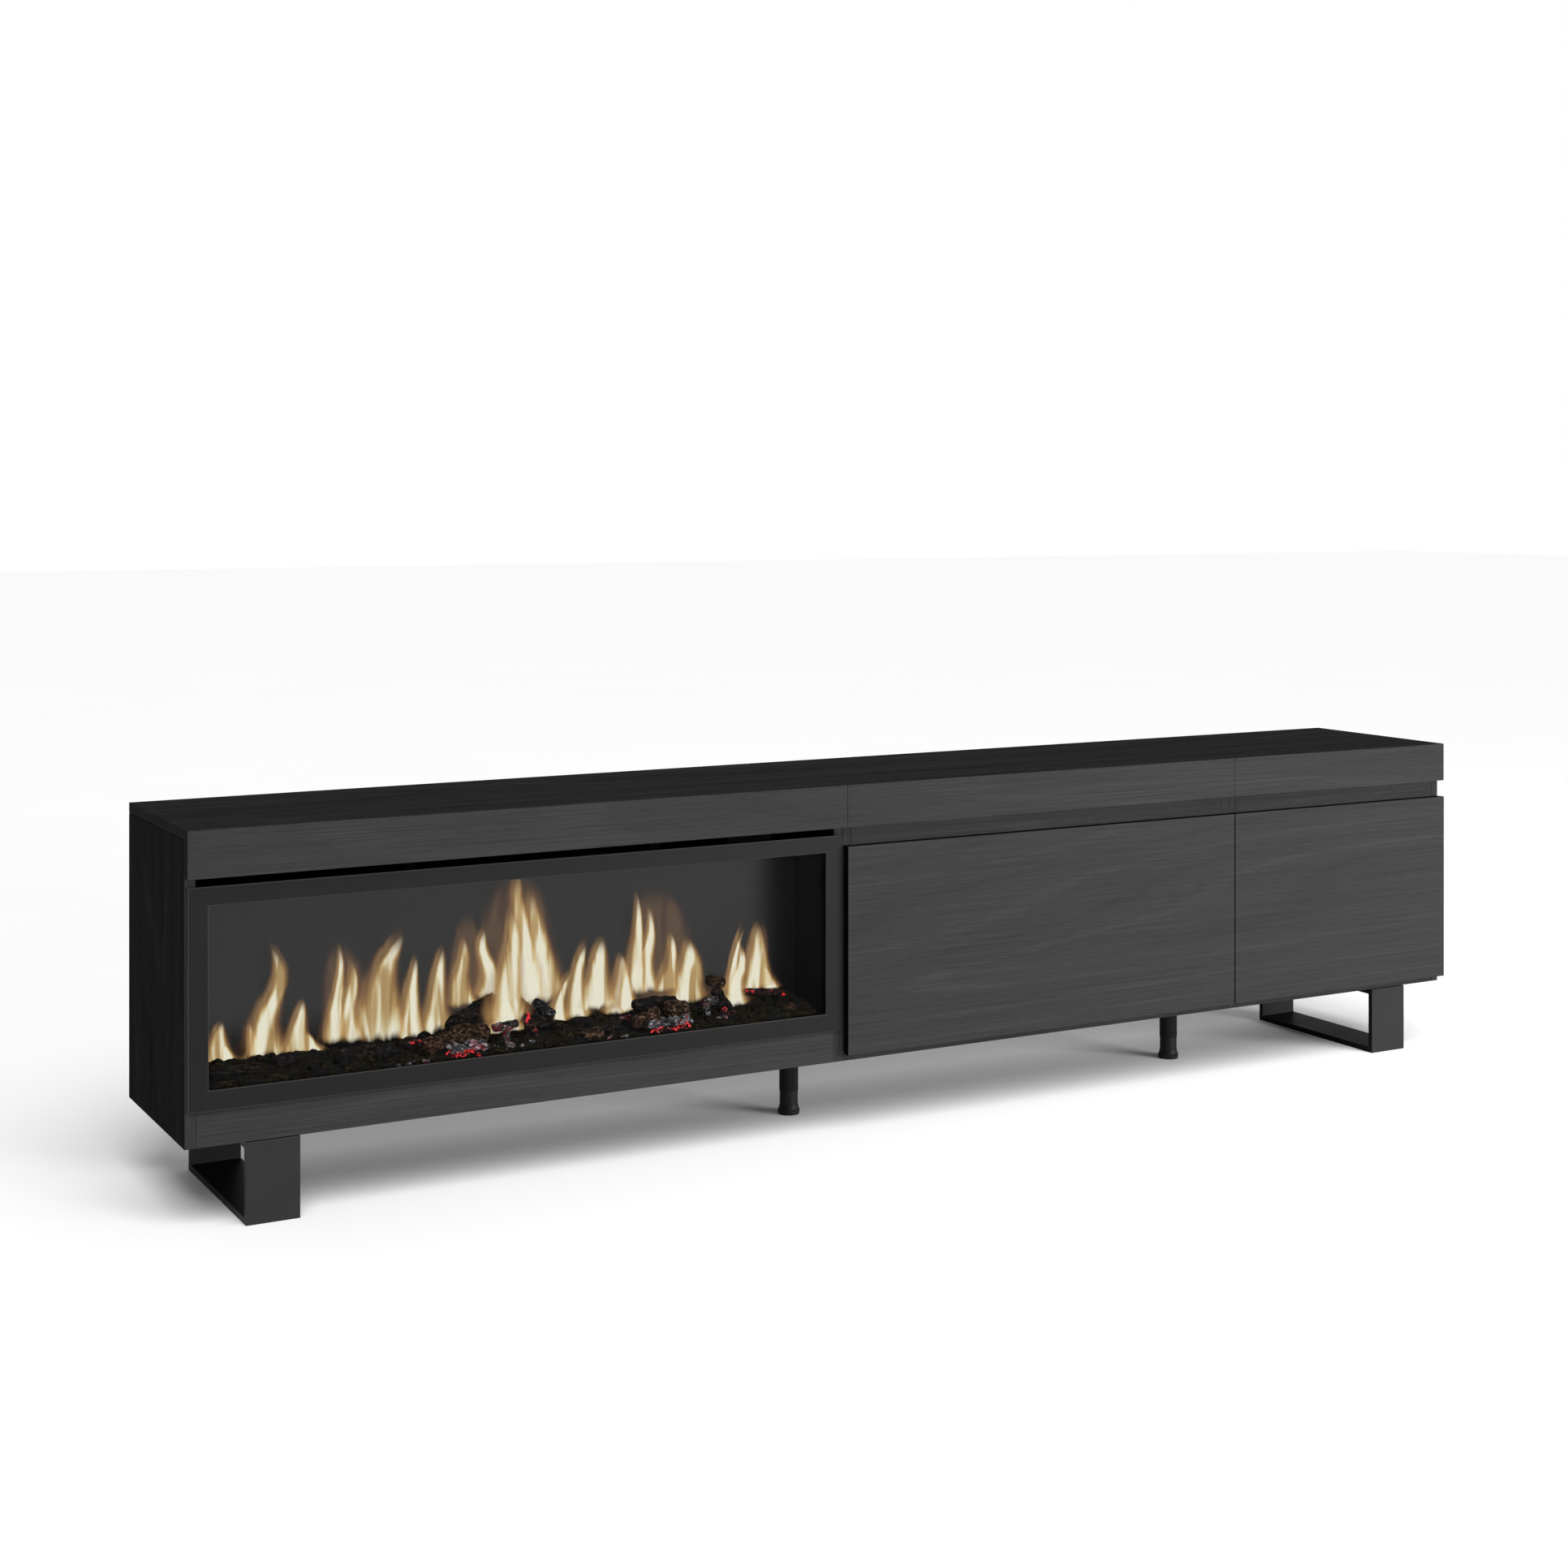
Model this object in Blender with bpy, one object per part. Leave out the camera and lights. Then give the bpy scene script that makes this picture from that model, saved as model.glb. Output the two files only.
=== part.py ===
"""A black wood lowboard in three modules on metal legs, with an electric fireplace built into the left one.

Metres, +Z up. The origin is on the floor under the middle of the lowboard, and the fronts face -Y.
Run it with: blender --background --python part.py
"""

import math

import bmesh
import bpy
import numpy as np
from mathutils import Matrix, Vector

# Driving dimensions of the furniture.
FIRE_WIDTH = 1.080
FLAP_WIDTH = 0.810
DOOR_WIDTH = 0.510
DEPTH = 0.350
HEIGHT = 0.575
LEG_HEIGHT = 0.120
BOARD = 0.016
FASCIA_HEIGHT = 0.070
FINGER_GAP = 0.031
BOTTOM_STRIP = 0.012
DOOR_STANDOFF = 0.001
DOOR_GAP = 0.0024
BACK_SHEET = 0.004
BACK_INSET = 0.005
GAP = 0.0003

# Cut-outs in the backs.
SERVICE_WIDTH = 0.200
SERVICE_HEIGHT = 0.120
CABLE_WIDTH = 0.100
CABLE_HEIGHT = 0.050
CABLE_LIFT = 0.030

# Legs.
SLED_INSET = 0.088
SLED_BAR_WIDTH = 0.080
SLED_BAR = 0.010
SLED_SETBACK = 0.015
ROUND_LEG_OFFSET = 0.0135
ROUND_LEG_RADIUS = 0.01625
ROUND_LEG_STEP = 0.040
FOOT_TUBE_RADIUS = 0.0155
FOOT_RADIUS = 0.018
FOOT_NECK_RADIUS = 0.016
FOOT_HEIGHT = 0.016
STEM_RADIUS = 0.005
STEM_LENGTH = 0.040
STEM_CLEARANCE = 0.0004

# Hinges of the flap and of the door.
KNUCKLE_RADIUS = 0.004
KNUCKLE_LENGTH = 0.030
PIN_RADIUS = 0.0015
PIN_LENGTH = 0.006
PIN_CLEARANCE = 0.0001
LEAF = 0.002
LEAF_REACH = 0.040
POCKET_CLEARANCE = 0.0015
HINGE_INSET = 0.070

# The fireplace.
FRAME_SIDE_GAP = 0.0035
RAIL_SHOWING = 0.0513
AIR_SLOT = 0.0131
FRAME_BORDER = 0.030
FRAME_TOP_BORDER = 0.0274
FRAME_PROUD = 0.005
FRAME_OVERLAP = 0.007
FRAME_BEVEL = 0.0008
GLASS = 0.004
GLASS_OVERLAP = 0.006
SHEET = 0.002
FIREBOX_CLEARANCE = 0.010
FIREBOX_RISE = 0.0135
FIREBOX_DEPTH = 0.2134
SCREEN_SETBACK = 0.128
SCREEN = 0.003
EMBER_DEPTH = 0.092
EMBER_HEIGHT = 0.026
PLINTH_DEPTH = 0.100

# Flame mechanism behind the screen.
LIGHT_BAR_DEPTH = 0.010
LIGHT_BAR_HEIGHT = 0.008
SPINNER_RADIUS = 0.016
SPINNER_SHAFT = 0.003
SPINNER_VANE = 0.0012
SPINNER_SETBACK = 0.045
SPINNER_LIFT = 0.042
SPINNER_MOTOR_LENGTH = 0.030
SPINNER_MOTOR_RADIUS = 0.018

# Heater above the firebox.
HEATER_LENGTH = 0.420
HEATER_DEPTH = 0.092
HEATER_HEAD_GAP = 0.003
OUTLET_DEPTH = 0.018
OUTLET_LIP = 0.0015
OUTLET_SLATS = 12
FAN_LENGTH = 0.300
FAN_RADIUS = 0.020
FAN_HUB = 0.008
FAN_BLADES = 20
FAN_MOTOR_LENGTH = 0.040
ELEMENT_DEPTH = 0.014
ELEMENT_HEIGHT = 0.022
ELEMENT_FINS = 24

# Controls.
PANEL_WIDTH = 0.080
PANEL_INSET = 0.110
PANEL_SHEET = 0.003
PANEL_FOOT = 0.020
BUTTON_RADIUS = 0.003
BUTTON_LENGTH = 0.009
BUTTON_SPACING = 0.024
BUTTON_CLEARANCE = 0.0002
SWITCH_WIDTH = 0.030
SWITCH_HEIGHT = 0.022
SWITCH_DEPTH = 0.014
SWITCH_WALL = 0.003
ROCKER_CLEARANCE = 0.0006
ROCKER_TILT = math.radians(7)
SWITCH_OFFSET = 0.020
GLAND_RADIUS = 0.008
GLAND_NUT_RADIUS = 0.0115
GLAND_LENGTH = 0.018

# Places that follow from the sizes above.
WIDTH = FIRE_WIDTH + FLAP_WIDTH + DOOR_WIDTH
LEFT = -WIDTH / 2
FIRST_JOINT = LEFT + FIRE_WIDTH
SECOND_JOINT = FIRST_JOINT + FLAP_WIDTH
FIRE = (LEFT, FIRST_JOINT - GAP / 2)
FLAP = (FIRST_JOINT + GAP / 2, SECOND_JOINT - GAP / 2)
DOOR = (SECOND_JOINT + GAP / 2, LEFT + WIDTH)
FRONT = -DEPTH / 2
BACK = DEPTH / 2
FASCIA_BACK = FRONT + BOARD
CARCASS_FRONT = FASCIA_BACK + DOOR_STANDOFF
TOP_UNDERSIDE = HEIGHT - BOARD
FLOOR_TOP = LEG_HEIGHT + BOARD
FASCIA_BOTTOM = HEIGHT - FASCIA_HEIGHT
DOOR_TOP = FASCIA_BOTTOM - FINGER_GAP
DOOR_BOTTOM = LEG_HEIGHT + BOTTOM_STRIP
AXIS_Y = FRONT + BOARD / 2
FLAP_AXIS_Z = DOOR_BOTTOM + BOARD / 2
DOOR_AXIS_X = DOOR[1] - BOARD / 2
BACK_FRONT = BACK - BACK_INSET - BACK_SHEET

FRAME_BOTTOM = LEG_HEIGHT + RAIL_SHOWING
FRAME_TOP = FASCIA_BOTTOM - AIR_SLOT
FRAME_X = (FIRE[0] + FRAME_SIDE_GAP, FIRE[1] - FRAME_SIDE_GAP)
FRAME_FRONT = CARCASS_FRONT - FRAME_PROUD
WINDOW_X = (FRAME_X[0] + FRAME_BORDER, FRAME_X[1] - FRAME_BORDER)
WINDOW_Z = (FRAME_BOTTOM + FRAME_BORDER, FRAME_TOP - FRAME_TOP_BORDER)
FIREBOX_TOP = WINDOW_Z[1] + FIREBOX_RISE
RAIL_TOP = FRAME_BOTTOM + FRAME_OVERLAP
GLASS_Y = (CARCASS_FRONT + GAP, CARCASS_FRONT + GAP + GLASS)
BOX_X = (FIRE[0] + BOARD + FIREBOX_CLEARANCE, FIRE[1] - BOARD - FIREBOX_CLEARANCE)
BOX_Y = (GLASS_Y[1] + GAP, GLASS_Y[1] + GAP + FIREBOX_DEPTH)
BOX_Z = (RAIL_TOP + LEAF, FIREBOX_TOP)
HOLLOW_X = (BOX_X[0] + SHEET, BOX_X[1] - SHEET)
HOLLOW_Z = (BOX_Z[0] + SHEET, BOX_Z[1] - SHEET)
SCREEN_Y = (FRONT + SCREEN_SETBACK, FRONT + SCREEN_SETBACK + SCREEN)
EMBER_Y = (SCREEN_Y[0] - GAP - EMBER_DEPTH, SCREEN_Y[0] - GAP)
SHELF_MIDDLE = (FLOOR_TOP + TOP_UNDERSIDE - FINGER_GAP) / 2


def clear_scene():
    for obj in list(bpy.data.objects):
        bpy.data.objects.remove(obj, do_unlink=True)


def material(name, colour, roughness, metallic=0.0, alpha=1.0):
    """A plain surface of the given colour."""
    made = bpy.data.materials.new(name)
    made.use_nodes = True
    shader = made.node_tree.nodes["Principled BSDF"]
    shader.inputs["Base Color"].default_value = (*colour, 1.0)
    shader.inputs["Roughness"].default_value = roughness
    shader.inputs["Metallic"].default_value = metallic
    shader.inputs["Alpha"].default_value = alpha
    made.diffuse_color = (*colour, alpha)
    return made


def add_object(name, mesh_data, surface, origin=(0, 0, 0)):
    """An object whose mesh is given in world places, with its origin moved to the given point."""
    bmesh.ops.recalc_face_normals(mesh_data, faces=mesh_data.faces)
    bmesh.ops.translate(mesh_data, verts=mesh_data.verts, vec=-Vector(origin))
    mesh = bpy.data.meshes.new(name)
    mesh_data.to_mesh(mesh)
    mesh_data.free()
    mesh.shade_smooth()
    mesh.set_sharp_from_angle(angle=math.radians(35))
    obj = bpy.data.objects.new(name, mesh)
    bpy.context.scene.collection.objects.link(obj)
    obj.location = origin
    if surface:
        mesh.materials.append(surface)
    return obj


def box_mesh(x, y, z):
    made = bmesh.new()
    size = (x[1] - x[0], y[1] - y[0], z[1] - z[0])
    middle = ((x[0] + x[1]) / 2, (y[0] + y[1]) / 2, (z[0] + z[1]) / 2)
    bmesh.ops.create_cube(made, size=1, matrix=Matrix.Translation(middle) @ Matrix.Diagonal((*size, 1)))
    return made


def prism_mesh(outline, axis, start, end):
    """The outline drawn in the plane across the axis, extruded along the axis from start to end."""
    place = {
        "X": lambda a, b, along: (along, a, b),
        "Y": lambda a, b, along: (a, along, b),
        "Z": lambda a, b, along: (a, b, along),
    }[axis]
    made = bmesh.new()
    near = made.faces.new([made.verts.new(place(a, b, start)) for a, b in outline])
    pushed = bmesh.ops.extrude_face_region(made, geom=[near])
    moved = [item for item in pushed["geom"] if isinstance(item, bmesh.types.BMVert)]
    bmesh.ops.translate(made, verts=moved, vec=place(0, 0, end - start))
    return made


def circle(centre, radius, count=32):
    turns = [2 * math.pi * k / count for k in range(count)]
    return [(centre[0] + radius * math.cos(t), centre[1] + radius * math.sin(t)) for t in turns]


def star(centre, hub, tip, blades, half_angle):
    """A hub with thin straight blades around it."""
    points = []
    for k in range(blades):
        middle = 2 * math.pi * k / blades
        root = half_angle * tip / hub
        for turn, radius in ((-root, hub), (-half_angle, tip), (half_angle, tip), (root, hub)):
            points.append((middle + turn, radius))
    return [(centre[0] + r * math.cos(t), centre[1] + r * math.sin(t)) for t, r in points]


def turned_mesh(profile, centre, count=32):
    """A solid of revolution about a vertical line, from (radius, height) pairs that run bottom to top."""
    made = bmesh.new()
    rings = []
    for radius, height in profile:
        rings.append([made.verts.new((x, y, height)) for x, y in circle(centre, radius, count)])
    for low, high in zip(rings, rings[1:]):
        for k in range(count):
            after = (k + 1) % count
            made.faces.new((low[k], low[after], high[after], high[k]))
    made.faces.new(reversed(rings[0]))
    made.faces.new(rings[-1])
    return made


def box(name, x, y, z, surface, origin=(0, 0, 0)):
    return add_object(name, box_mesh(x, y, z), surface, origin)


def cut(obj, tool_mesh):
    """Takes the tool's shape out of the object."""
    boolean(obj, tool_mesh, "DIFFERENCE")


def join(obj, tool_mesh):
    boolean(obj, tool_mesh, "UNION")


def boolean(obj, tool_mesh, operation):
    index = len(obj.modifiers)
    tool = add_object(f"{obj.name}.tool{index}", tool_mesh, None)
    tool.hide_render = True
    tool.display_type = "WIRE"
    change = obj.modifiers.new(f"{operation.lower()}{index}", "BOOLEAN")
    change.operation = operation
    change.solver = "EXACT"
    change.object = tool


def bevel(obj, width):
    change = obj.modifiers.new("bevel", "BEVEL")
    change.width = width
    change.segments = 1
    change.limit_method = "ANGLE"


def module(name, x, wood, sheet):
    """The carcass that every module shares: two side panels, a mitred top and fascia, and a bottom."""
    inner = (x[0] + BOARD + GAP, x[1] - BOARD - GAP)
    side_z = (LEG_HEIGHT, TOP_UNDERSIDE - GAP)
    box(f"{name}_side_left", (x[0], x[0] + BOARD), (CARCASS_FRONT, BACK), side_z, wood["side"])
    box(f"{name}_side_right", (x[1] - BOARD, x[1]), (CARCASS_FRONT, BACK), side_z, wood["side"])
    mitre = GAP / math.sqrt(2)
    top = [
        (FRONT + mitre, HEIGHT),
        (BACK, HEIGHT),
        (BACK, TOP_UNDERSIDE),
        (FASCIA_BACK + mitre, TOP_UNDERSIDE),
    ]
    add_object(f"{name}_top", prism_mesh(top, "X", *x), wood["front"])
    fascia = [
        (FRONT, HEIGHT - mitre),
        (FASCIA_BACK, TOP_UNDERSIDE - mitre),
        (FASCIA_BACK, FASCIA_BOTTOM),
        (FRONT, FASCIA_BOTTOM),
    ]
    add_object(f"{name}_fascia", prism_mesh(fascia, "X", *x), wood["front"])
    back_z = (LEG_HEIGHT, TOP_UNDERSIDE - GAP)
    return box(f"{name}_back", inner, (BACK_FRONT, BACK_FRONT + BACK_SHEET), back_z, sheet), inner


def cupboard(name, x, wood, sheet):
    """What the flap's module and the door's module share: a bottom to the front and a recessed rail."""
    back, inner = module(name, x, wood, sheet)
    box(f"{name}_bottom", inner, (CARCASS_FRONT, BACK_FRONT - GAP), (LEG_HEIGHT, FLOOR_TOP), wood["front"])
    rail_y = (CARCASS_FRONT, CARCASS_FRONT + BOARD)
    rail_z = (HEIGHT - FASCIA_HEIGHT - FINGER_GAP - BOARD, TOP_UNDERSIDE - GAP)
    box(f"{name}_rail", inner, rail_y, rail_z, wood["front"])
    return back, inner


def half_round(corner_x, far_x, front, back, centre):
    """A board's outline with its back corner rounded about the hinge axis, so that it turns clear."""
    radius = back - centre[1]
    side = 1 if corner_x > far_x else -1
    arc = []
    for k in range(9):
        turn = math.pi / 2 * k / 8
        arc.append((centre[0] + side * radius * math.cos(turn), centre[1] + radius * math.sin(turn)))
    return [(far_x, front), (corner_x, front), *arc, (far_x, back)]


def flap_module(wood, steel, sheet):
    back, inner = cupboard("flap_module", FLAP, wood, sheet)
    middle = (inner[0] + inner[1]) / 2
    cable_x = (middle - CABLE_WIDTH / 2, middle + CABLE_WIDTH / 2)
    cable_z = (FLOOR_TOP + CABLE_LIFT, FLOOR_TOP + CABLE_LIFT + CABLE_HEIGHT)
    cut(back, box_mesh(cable_x, (BACK_FRONT - BOARD, BACK), cable_z))

    x = (FLAP[0] + DOOR_GAP / 2, FLAP[1] - DOOR_GAP / 2)
    outline = half_round(DOOR_BOTTOM, DOOR_TOP, FRONT, FASCIA_BACK, (FLAP_AXIS_Z, AXIS_Y))
    outline = [(y, z) for z, y in outline]
    axis = (0, AXIS_Y, FLAP_AXIS_Z)
    flap = add_object("flap", prism_mesh(outline, "X", *x), wood["front"], axis)
    leaf_z = (FLOOR_TOP + GAP, FLOOR_TOP + GAP + LEAF)
    reach = max(KNUCKLE_RADIUS, FLAP_AXIS_Z - leaf_z[0]) + POCKET_CLEARANCE
    for side, at in (("left", x[0] + HINGE_INSET), ("right", x[1] - HINGE_INSET)):
        half = KNUCKLE_LENGTH / 2 + GAP
        pocket_y = (AXIS_Y - reach, FASCIA_BACK + BOARD)
        pocket_z = (DOOR_BOTTOM - BOARD, FLAP_AXIS_Z + reach)
        cut(flap, box_mesh((at - half, at + half), pocket_y, pocket_z))
        bore = half + PIN_LENGTH + GAP
        hole = circle((AXIS_Y, FLAP_AXIS_Z), PIN_RADIUS + PIN_CLEARANCE)
        cut(flap, prism_mesh(hole, "X", at - bore, at + bore))

        leaf = [
            (AXIS_Y - LEAF / 2, FLAP_AXIS_Z),
            (AXIS_Y + LEAF / 2, FLAP_AXIS_Z),
            (AXIS_Y + LEAF / 2, leaf_z[1]),
            (CARCASS_FRONT + LEAF_REACH, leaf_z[1]),
            (CARCASS_FRONT + LEAF_REACH, leaf_z[0]),
            (AXIS_Y - LEAF / 2, leaf_z[0]),
        ]
        span = (at - KNUCKLE_LENGTH / 2, at + KNUCKLE_LENGTH / 2)
        hinge = add_object(f"flap_hinge_{side}", prism_mesh(leaf, "X", *span), steel)
        knuckle = circle((AXIS_Y, FLAP_AXIS_Z), KNUCKLE_RADIUS)
        join(hinge, prism_mesh(knuckle, "X", span[0] - GAP / 4, span[1] + GAP / 4))
        pin = circle((AXIS_Y, FLAP_AXIS_Z), PIN_RADIUS)
        join(hinge, prism_mesh(pin, "X", span[0] - PIN_LENGTH, span[1] + PIN_LENGTH))


def door_module(wood, steel, sheet):
    _, inner = cupboard("door_module", DOOR, wood, sheet)
    shelf_z = (SHELF_MIDDLE - BOARD / 2, SHELF_MIDDLE + BOARD / 2)
    shelf_y = (CARCASS_FRONT + LEAF_REACH + BOARD, BACK_FRONT - GAP)
    box("door_module_shelf", inner, shelf_y, shelf_z, wood["side"])

    x = (DOOR[0] + DOOR_GAP / 2, DOOR[1])
    outline = half_round(x[1], x[0], FRONT, FASCIA_BACK, (DOOR_AXIS_X, AXIS_Y))
    axis = (DOOR_AXIS_X, AXIS_Y, 0)
    door = add_object("door", prism_mesh(outline, "Z", DOOR_BOTTOM, DOOR_TOP), wood["front"], axis)
    panel_face = DOOR[1] - BOARD
    for side, at in (("lower", DOOR_BOTTOM + HINGE_INSET), ("upper", DOOR_TOP - HINGE_INSET)):
        reach = KNUCKLE_RADIUS + POCKET_CLEARANCE
        half = KNUCKLE_LENGTH / 2 + GAP
        pocket_x = (panel_face - GAP - LEAF - POCKET_CLEARANCE, DOOR[1] + BOARD)
        cut(door, box_mesh(pocket_x, (AXIS_Y - reach, FASCIA_BACK + BOARD), (at - half, at + half)))
        bore = half + PIN_LENGTH + GAP
        hole = circle((DOOR_AXIS_X, AXIS_Y), PIN_RADIUS + PIN_CLEARANCE)
        cut(door, prism_mesh(hole, "Z", at - bore, at + bore))

        plate = panel_face - GAP
        bend = CARCASS_FRONT - DOOR_STANDOFF - GAP
        root = DOOR_AXIS_X - KNUCKLE_RADIUS + GAP / 2
        leaf = [
            (root, AXIS_Y),
            (root + LEAF, AXIS_Y),
            (root + LEAF, bend),
            (plate, bend),
            (plate, CARCASS_FRONT + LEAF_REACH),
            (plate - LEAF, CARCASS_FRONT + LEAF_REACH),
            (plate - LEAF, bend - LEAF),
            (root, bend - LEAF),
        ]
        span = (at - KNUCKLE_LENGTH / 2, at + KNUCKLE_LENGTH / 2)
        hinge = add_object(f"door_hinge_{side}", prism_mesh(leaf, "Z", *span), steel)
        knuckle = circle((DOOR_AXIS_X, AXIS_Y), KNUCKLE_RADIUS)
        join(hinge, prism_mesh(knuckle, "Z", span[0] - GAP / 4, span[1] + GAP / 4))
        pin = circle((DOOR_AXIS_X, AXIS_Y), PIN_RADIUS)
        join(hinge, prism_mesh(pin, "Z", span[0] - PIN_LENGTH, span[1] + PIN_LENGTH))


def fire_module(wood, sheet):
    back, inner = module("fire_module", FIRE, wood, sheet)
    rail_y = (CARCASS_FRONT, CARCASS_FRONT + BOARD)
    box("fire_module_rail", inner, rail_y, (LEG_HEIGHT, RAIL_TOP), wood["front"])
    floor_y = (rail_y[1] + GAP, BACK_FRONT - GAP)
    box("fire_module_bottom", inner, floor_y, (LEG_HEIGHT, FLOOR_TOP), wood["front"])
    plinth_x = (BOX_X[0] + FIREBOX_CLEARANCE, BOX_X[1] - FIREBOX_CLEARANCE)
    plinth_y = (BOX_Y[1] - PLINTH_DEPTH - BOARD, BOX_Y[1] - BOARD)
    box("firebox_plinth", plinth_x, plinth_y, (FLOOR_TOP + GAP, BOX_Z[0] - GAP), wood["side"])
    service_x = (inner[1] - SERVICE_WIDTH - BOARD * 4, inner[1] - BOARD * 4)
    service_z = (BOX_Z[0], BOX_Z[0] + SERVICE_HEIGHT)
    cut(back, box_mesh(service_x, (BACK_FRONT - BOARD, BACK), service_z))
    return (service_x[0] + service_x[1]) / 2, (service_z[0] + service_z[1]) / 2


def trim_frame(black):
    frame_y = (FRAME_FRONT, CARCASS_FRONT - GAP)
    frame = box("trim_frame", FRAME_X, frame_y, (FRAME_BOTTOM, FRAME_TOP), black)
    cut(frame, box_mesh(WINDOW_X, (FRONT, CARCASS_FRONT + BOARD), WINDOW_Z))
    bevel(frame, FRAME_BEVEL)


def grown(span, by):
    return (span[0] - by, span[1] + by)


def firebox(steel, clear, dark):
    box("front_glass", grown(WINDOW_X, GLASS_OVERLAP), GLASS_Y, grown(WINDOW_Z, GLASS_OVERLAP), clear)
    shell = box("firebox", BOX_X, BOX_Y, BOX_Z, steel)
    cut(shell, box_mesh(HOLLOW_X, (BOX_Y[0] - SHEET, BOX_Y[1] - SHEET), HOLLOW_Z))
    box("flame_screen", grown(HOLLOW_X, -GAP), SCREEN_Y, grown(HOLLOW_Z, -GAP), dark)


def bed_height(x, y):
    """The height of the coals at a point: low lumps that rise towards the screen."""
    along = (x - HOLLOW_X[0]) / (HOLLOW_X[1] - HOLLOW_X[0])
    across = (y - EMBER_Y[0]) / EMBER_DEPTH
    lumps = 0.5 * math.sin(37 * along + 5 * across) + 0.5 * math.sin(83 * along - 9 * across + 1)
    return HOLLOW_Z[0] + GAP + EMBER_HEIGHT * (0.72 + 0.22 * across + 0.10 * lumps * across)


def ember_bed(coal):
    """A lumpy bed of coals from wall to wall, in front of the screen."""
    made = bmesh.new()
    xs = np.linspace(HOLLOW_X[0] + GAP, HOLLOW_X[1] - GAP, 61)
    ys = np.linspace(EMBER_Y[0], EMBER_Y[1], 6)
    floor = HOLLOW_Z[0] + GAP
    top = [[made.verts.new((x, y, bed_height(x, y))) for y in ys] for x in xs]
    low = [[made.verts.new((x, y, floor)) for y in ys] for x in xs]
    for i in range(len(xs) - 1):
        for j in range(len(ys) - 1):
            made.faces.new((top[i][j], top[i + 1][j], top[i + 1][j + 1], top[i][j + 1]))
            made.faces.new((low[i][j], low[i][j + 1], low[i + 1][j + 1], low[i + 1][j]))
        for j in (0, len(ys) - 1):
            made.faces.new((top[i][j], top[i + 1][j], low[i + 1][j], low[i][j]))
    for i in (0, len(xs) - 1):
        for j in range(len(ys) - 1):
            made.faces.new((top[i][j], top[i][j + 1], low[i][j + 1], low[i][j]))
    add_object("ember_bed", made, coal)


def log(name, start, end, radius, taper, surface):
    """A knobbly round log, its ends given from the left wall, in front of the screen, and above the floor."""
    ends = [Vector((HOLLOW_X[0] + p[0], SCREEN_Y[0] - p[1], HOLLOW_Z[0] + p[2])) for p in (start, end)]
    run = ends[1] - ends[0]
    turn = run.to_track_quat("Z", "Y").to_matrix()
    made = bmesh.new()
    rings = []
    count = 10
    for i in range(6):
        share = i / 5
        ring = []
        for k in range(count):
            angle = 2 * math.pi * k / count
            bump = 1 + 0.07 * math.sin(3 * angle + 4 * share) + 0.04 * math.cos(5 * angle - 9 * share)
            reach = radius * (1 - taper * share) * bump
            offset = turn @ Vector((reach * math.cos(angle), reach * math.sin(angle), 0))
            ring.append(made.verts.new(ends[0] + run * share + offset))
        rings.append(ring)
    for low, high in zip(rings, rings[1:]):
        for k in range(count):
            after = (k + 1) % count
            made.faces.new((low[k], low[after], high[after], high[k]))
    made.faces.new(reversed(rings[0]))
    made.faces.new(rings[-1])
    add_object(name, made, surface)


def logs(bark):
    log("log_large", (0.396, 0.036, 0.0570), (0.472, 0.024, 0.0800), 0.0135, 0.2, bark)
    log("log_front_left", (0.352, 0.073, 0.0360), (0.404, 0.068, 0.0430), 0.0095, 0.1, bark)
    log("log_cross", (0.460, 0.076, 0.0455), (0.502, 0.074, 0.0565), 0.0070, 0.15, bark)
    log("log_leaning", (0.525, 0.058, 0.0370), (0.508, 0.044, 0.0680), 0.0065, 0.1, bark)
    log("log_right", (0.600, 0.080, 0.0345), (0.644, 0.076, 0.0365), 0.0075, 0.1, bark)


def flame_mechanism(metal, black, light):
    bar_y = (SCREEN_Y[1] + GAP + LIGHT_BAR_DEPTH, SCREEN_Y[1] + GAP + 2 * LIGHT_BAR_DEPTH)
    bar_z = (HOLLOW_Z[0] + GAP, HOLLOW_Z[0] + GAP + LIGHT_BAR_HEIGHT)
    box("light_bar", grown(HOLLOW_X, -LIGHT_BAR_DEPTH), bar_y, bar_z, light)

    centre = (SCREEN_Y[1] + SPINNER_SETBACK, HOLLOW_Z[0] + SPINNER_LIFT)
    motor_x = (HOLLOW_X[1] - GAP - SPINNER_MOTOR_LENGTH, HOLLOW_X[1] - GAP)
    spinner_x = (HOLLOW_X[0] + GAP, motor_x[0] - GAP)
    made = bmesh.new()
    rings = []
    stations = 21
    for i in range(stations):
        share = i / (stations - 1)
        twist = math.pi * 2.5 * share
        ring = []
        for y, z in star((0, 0), SPINNER_SHAFT, SPINNER_RADIUS, 4, SPINNER_VANE / SPINNER_RADIUS / 2):
            across = Matrix.Rotation(twist, 2) @ Vector((y, z))
            x = spinner_x[0] + share * (spinner_x[1] - spinner_x[0])
            ring.append(made.verts.new((x, centre[0] + across.x, centre[1] + across.y)))
        rings.append(ring)
    for low, high in zip(rings, rings[1:]):
        for k in range(len(low)):
            after = (k + 1) % len(low)
            made.faces.new((low[k], low[after], high[after], high[k]))
    made.faces.new(rings[0])
    made.faces.new(rings[-1])
    bmesh.ops.triangulate(made, faces=made.faces)
    add_object("flame_spinner", made, metal, (0, *centre))
    motor = prism_mesh(circle(centre, SPINNER_MOTOR_RADIUS), "X", *motor_x)
    add_object("spinner_motor", motor, black)


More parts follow.
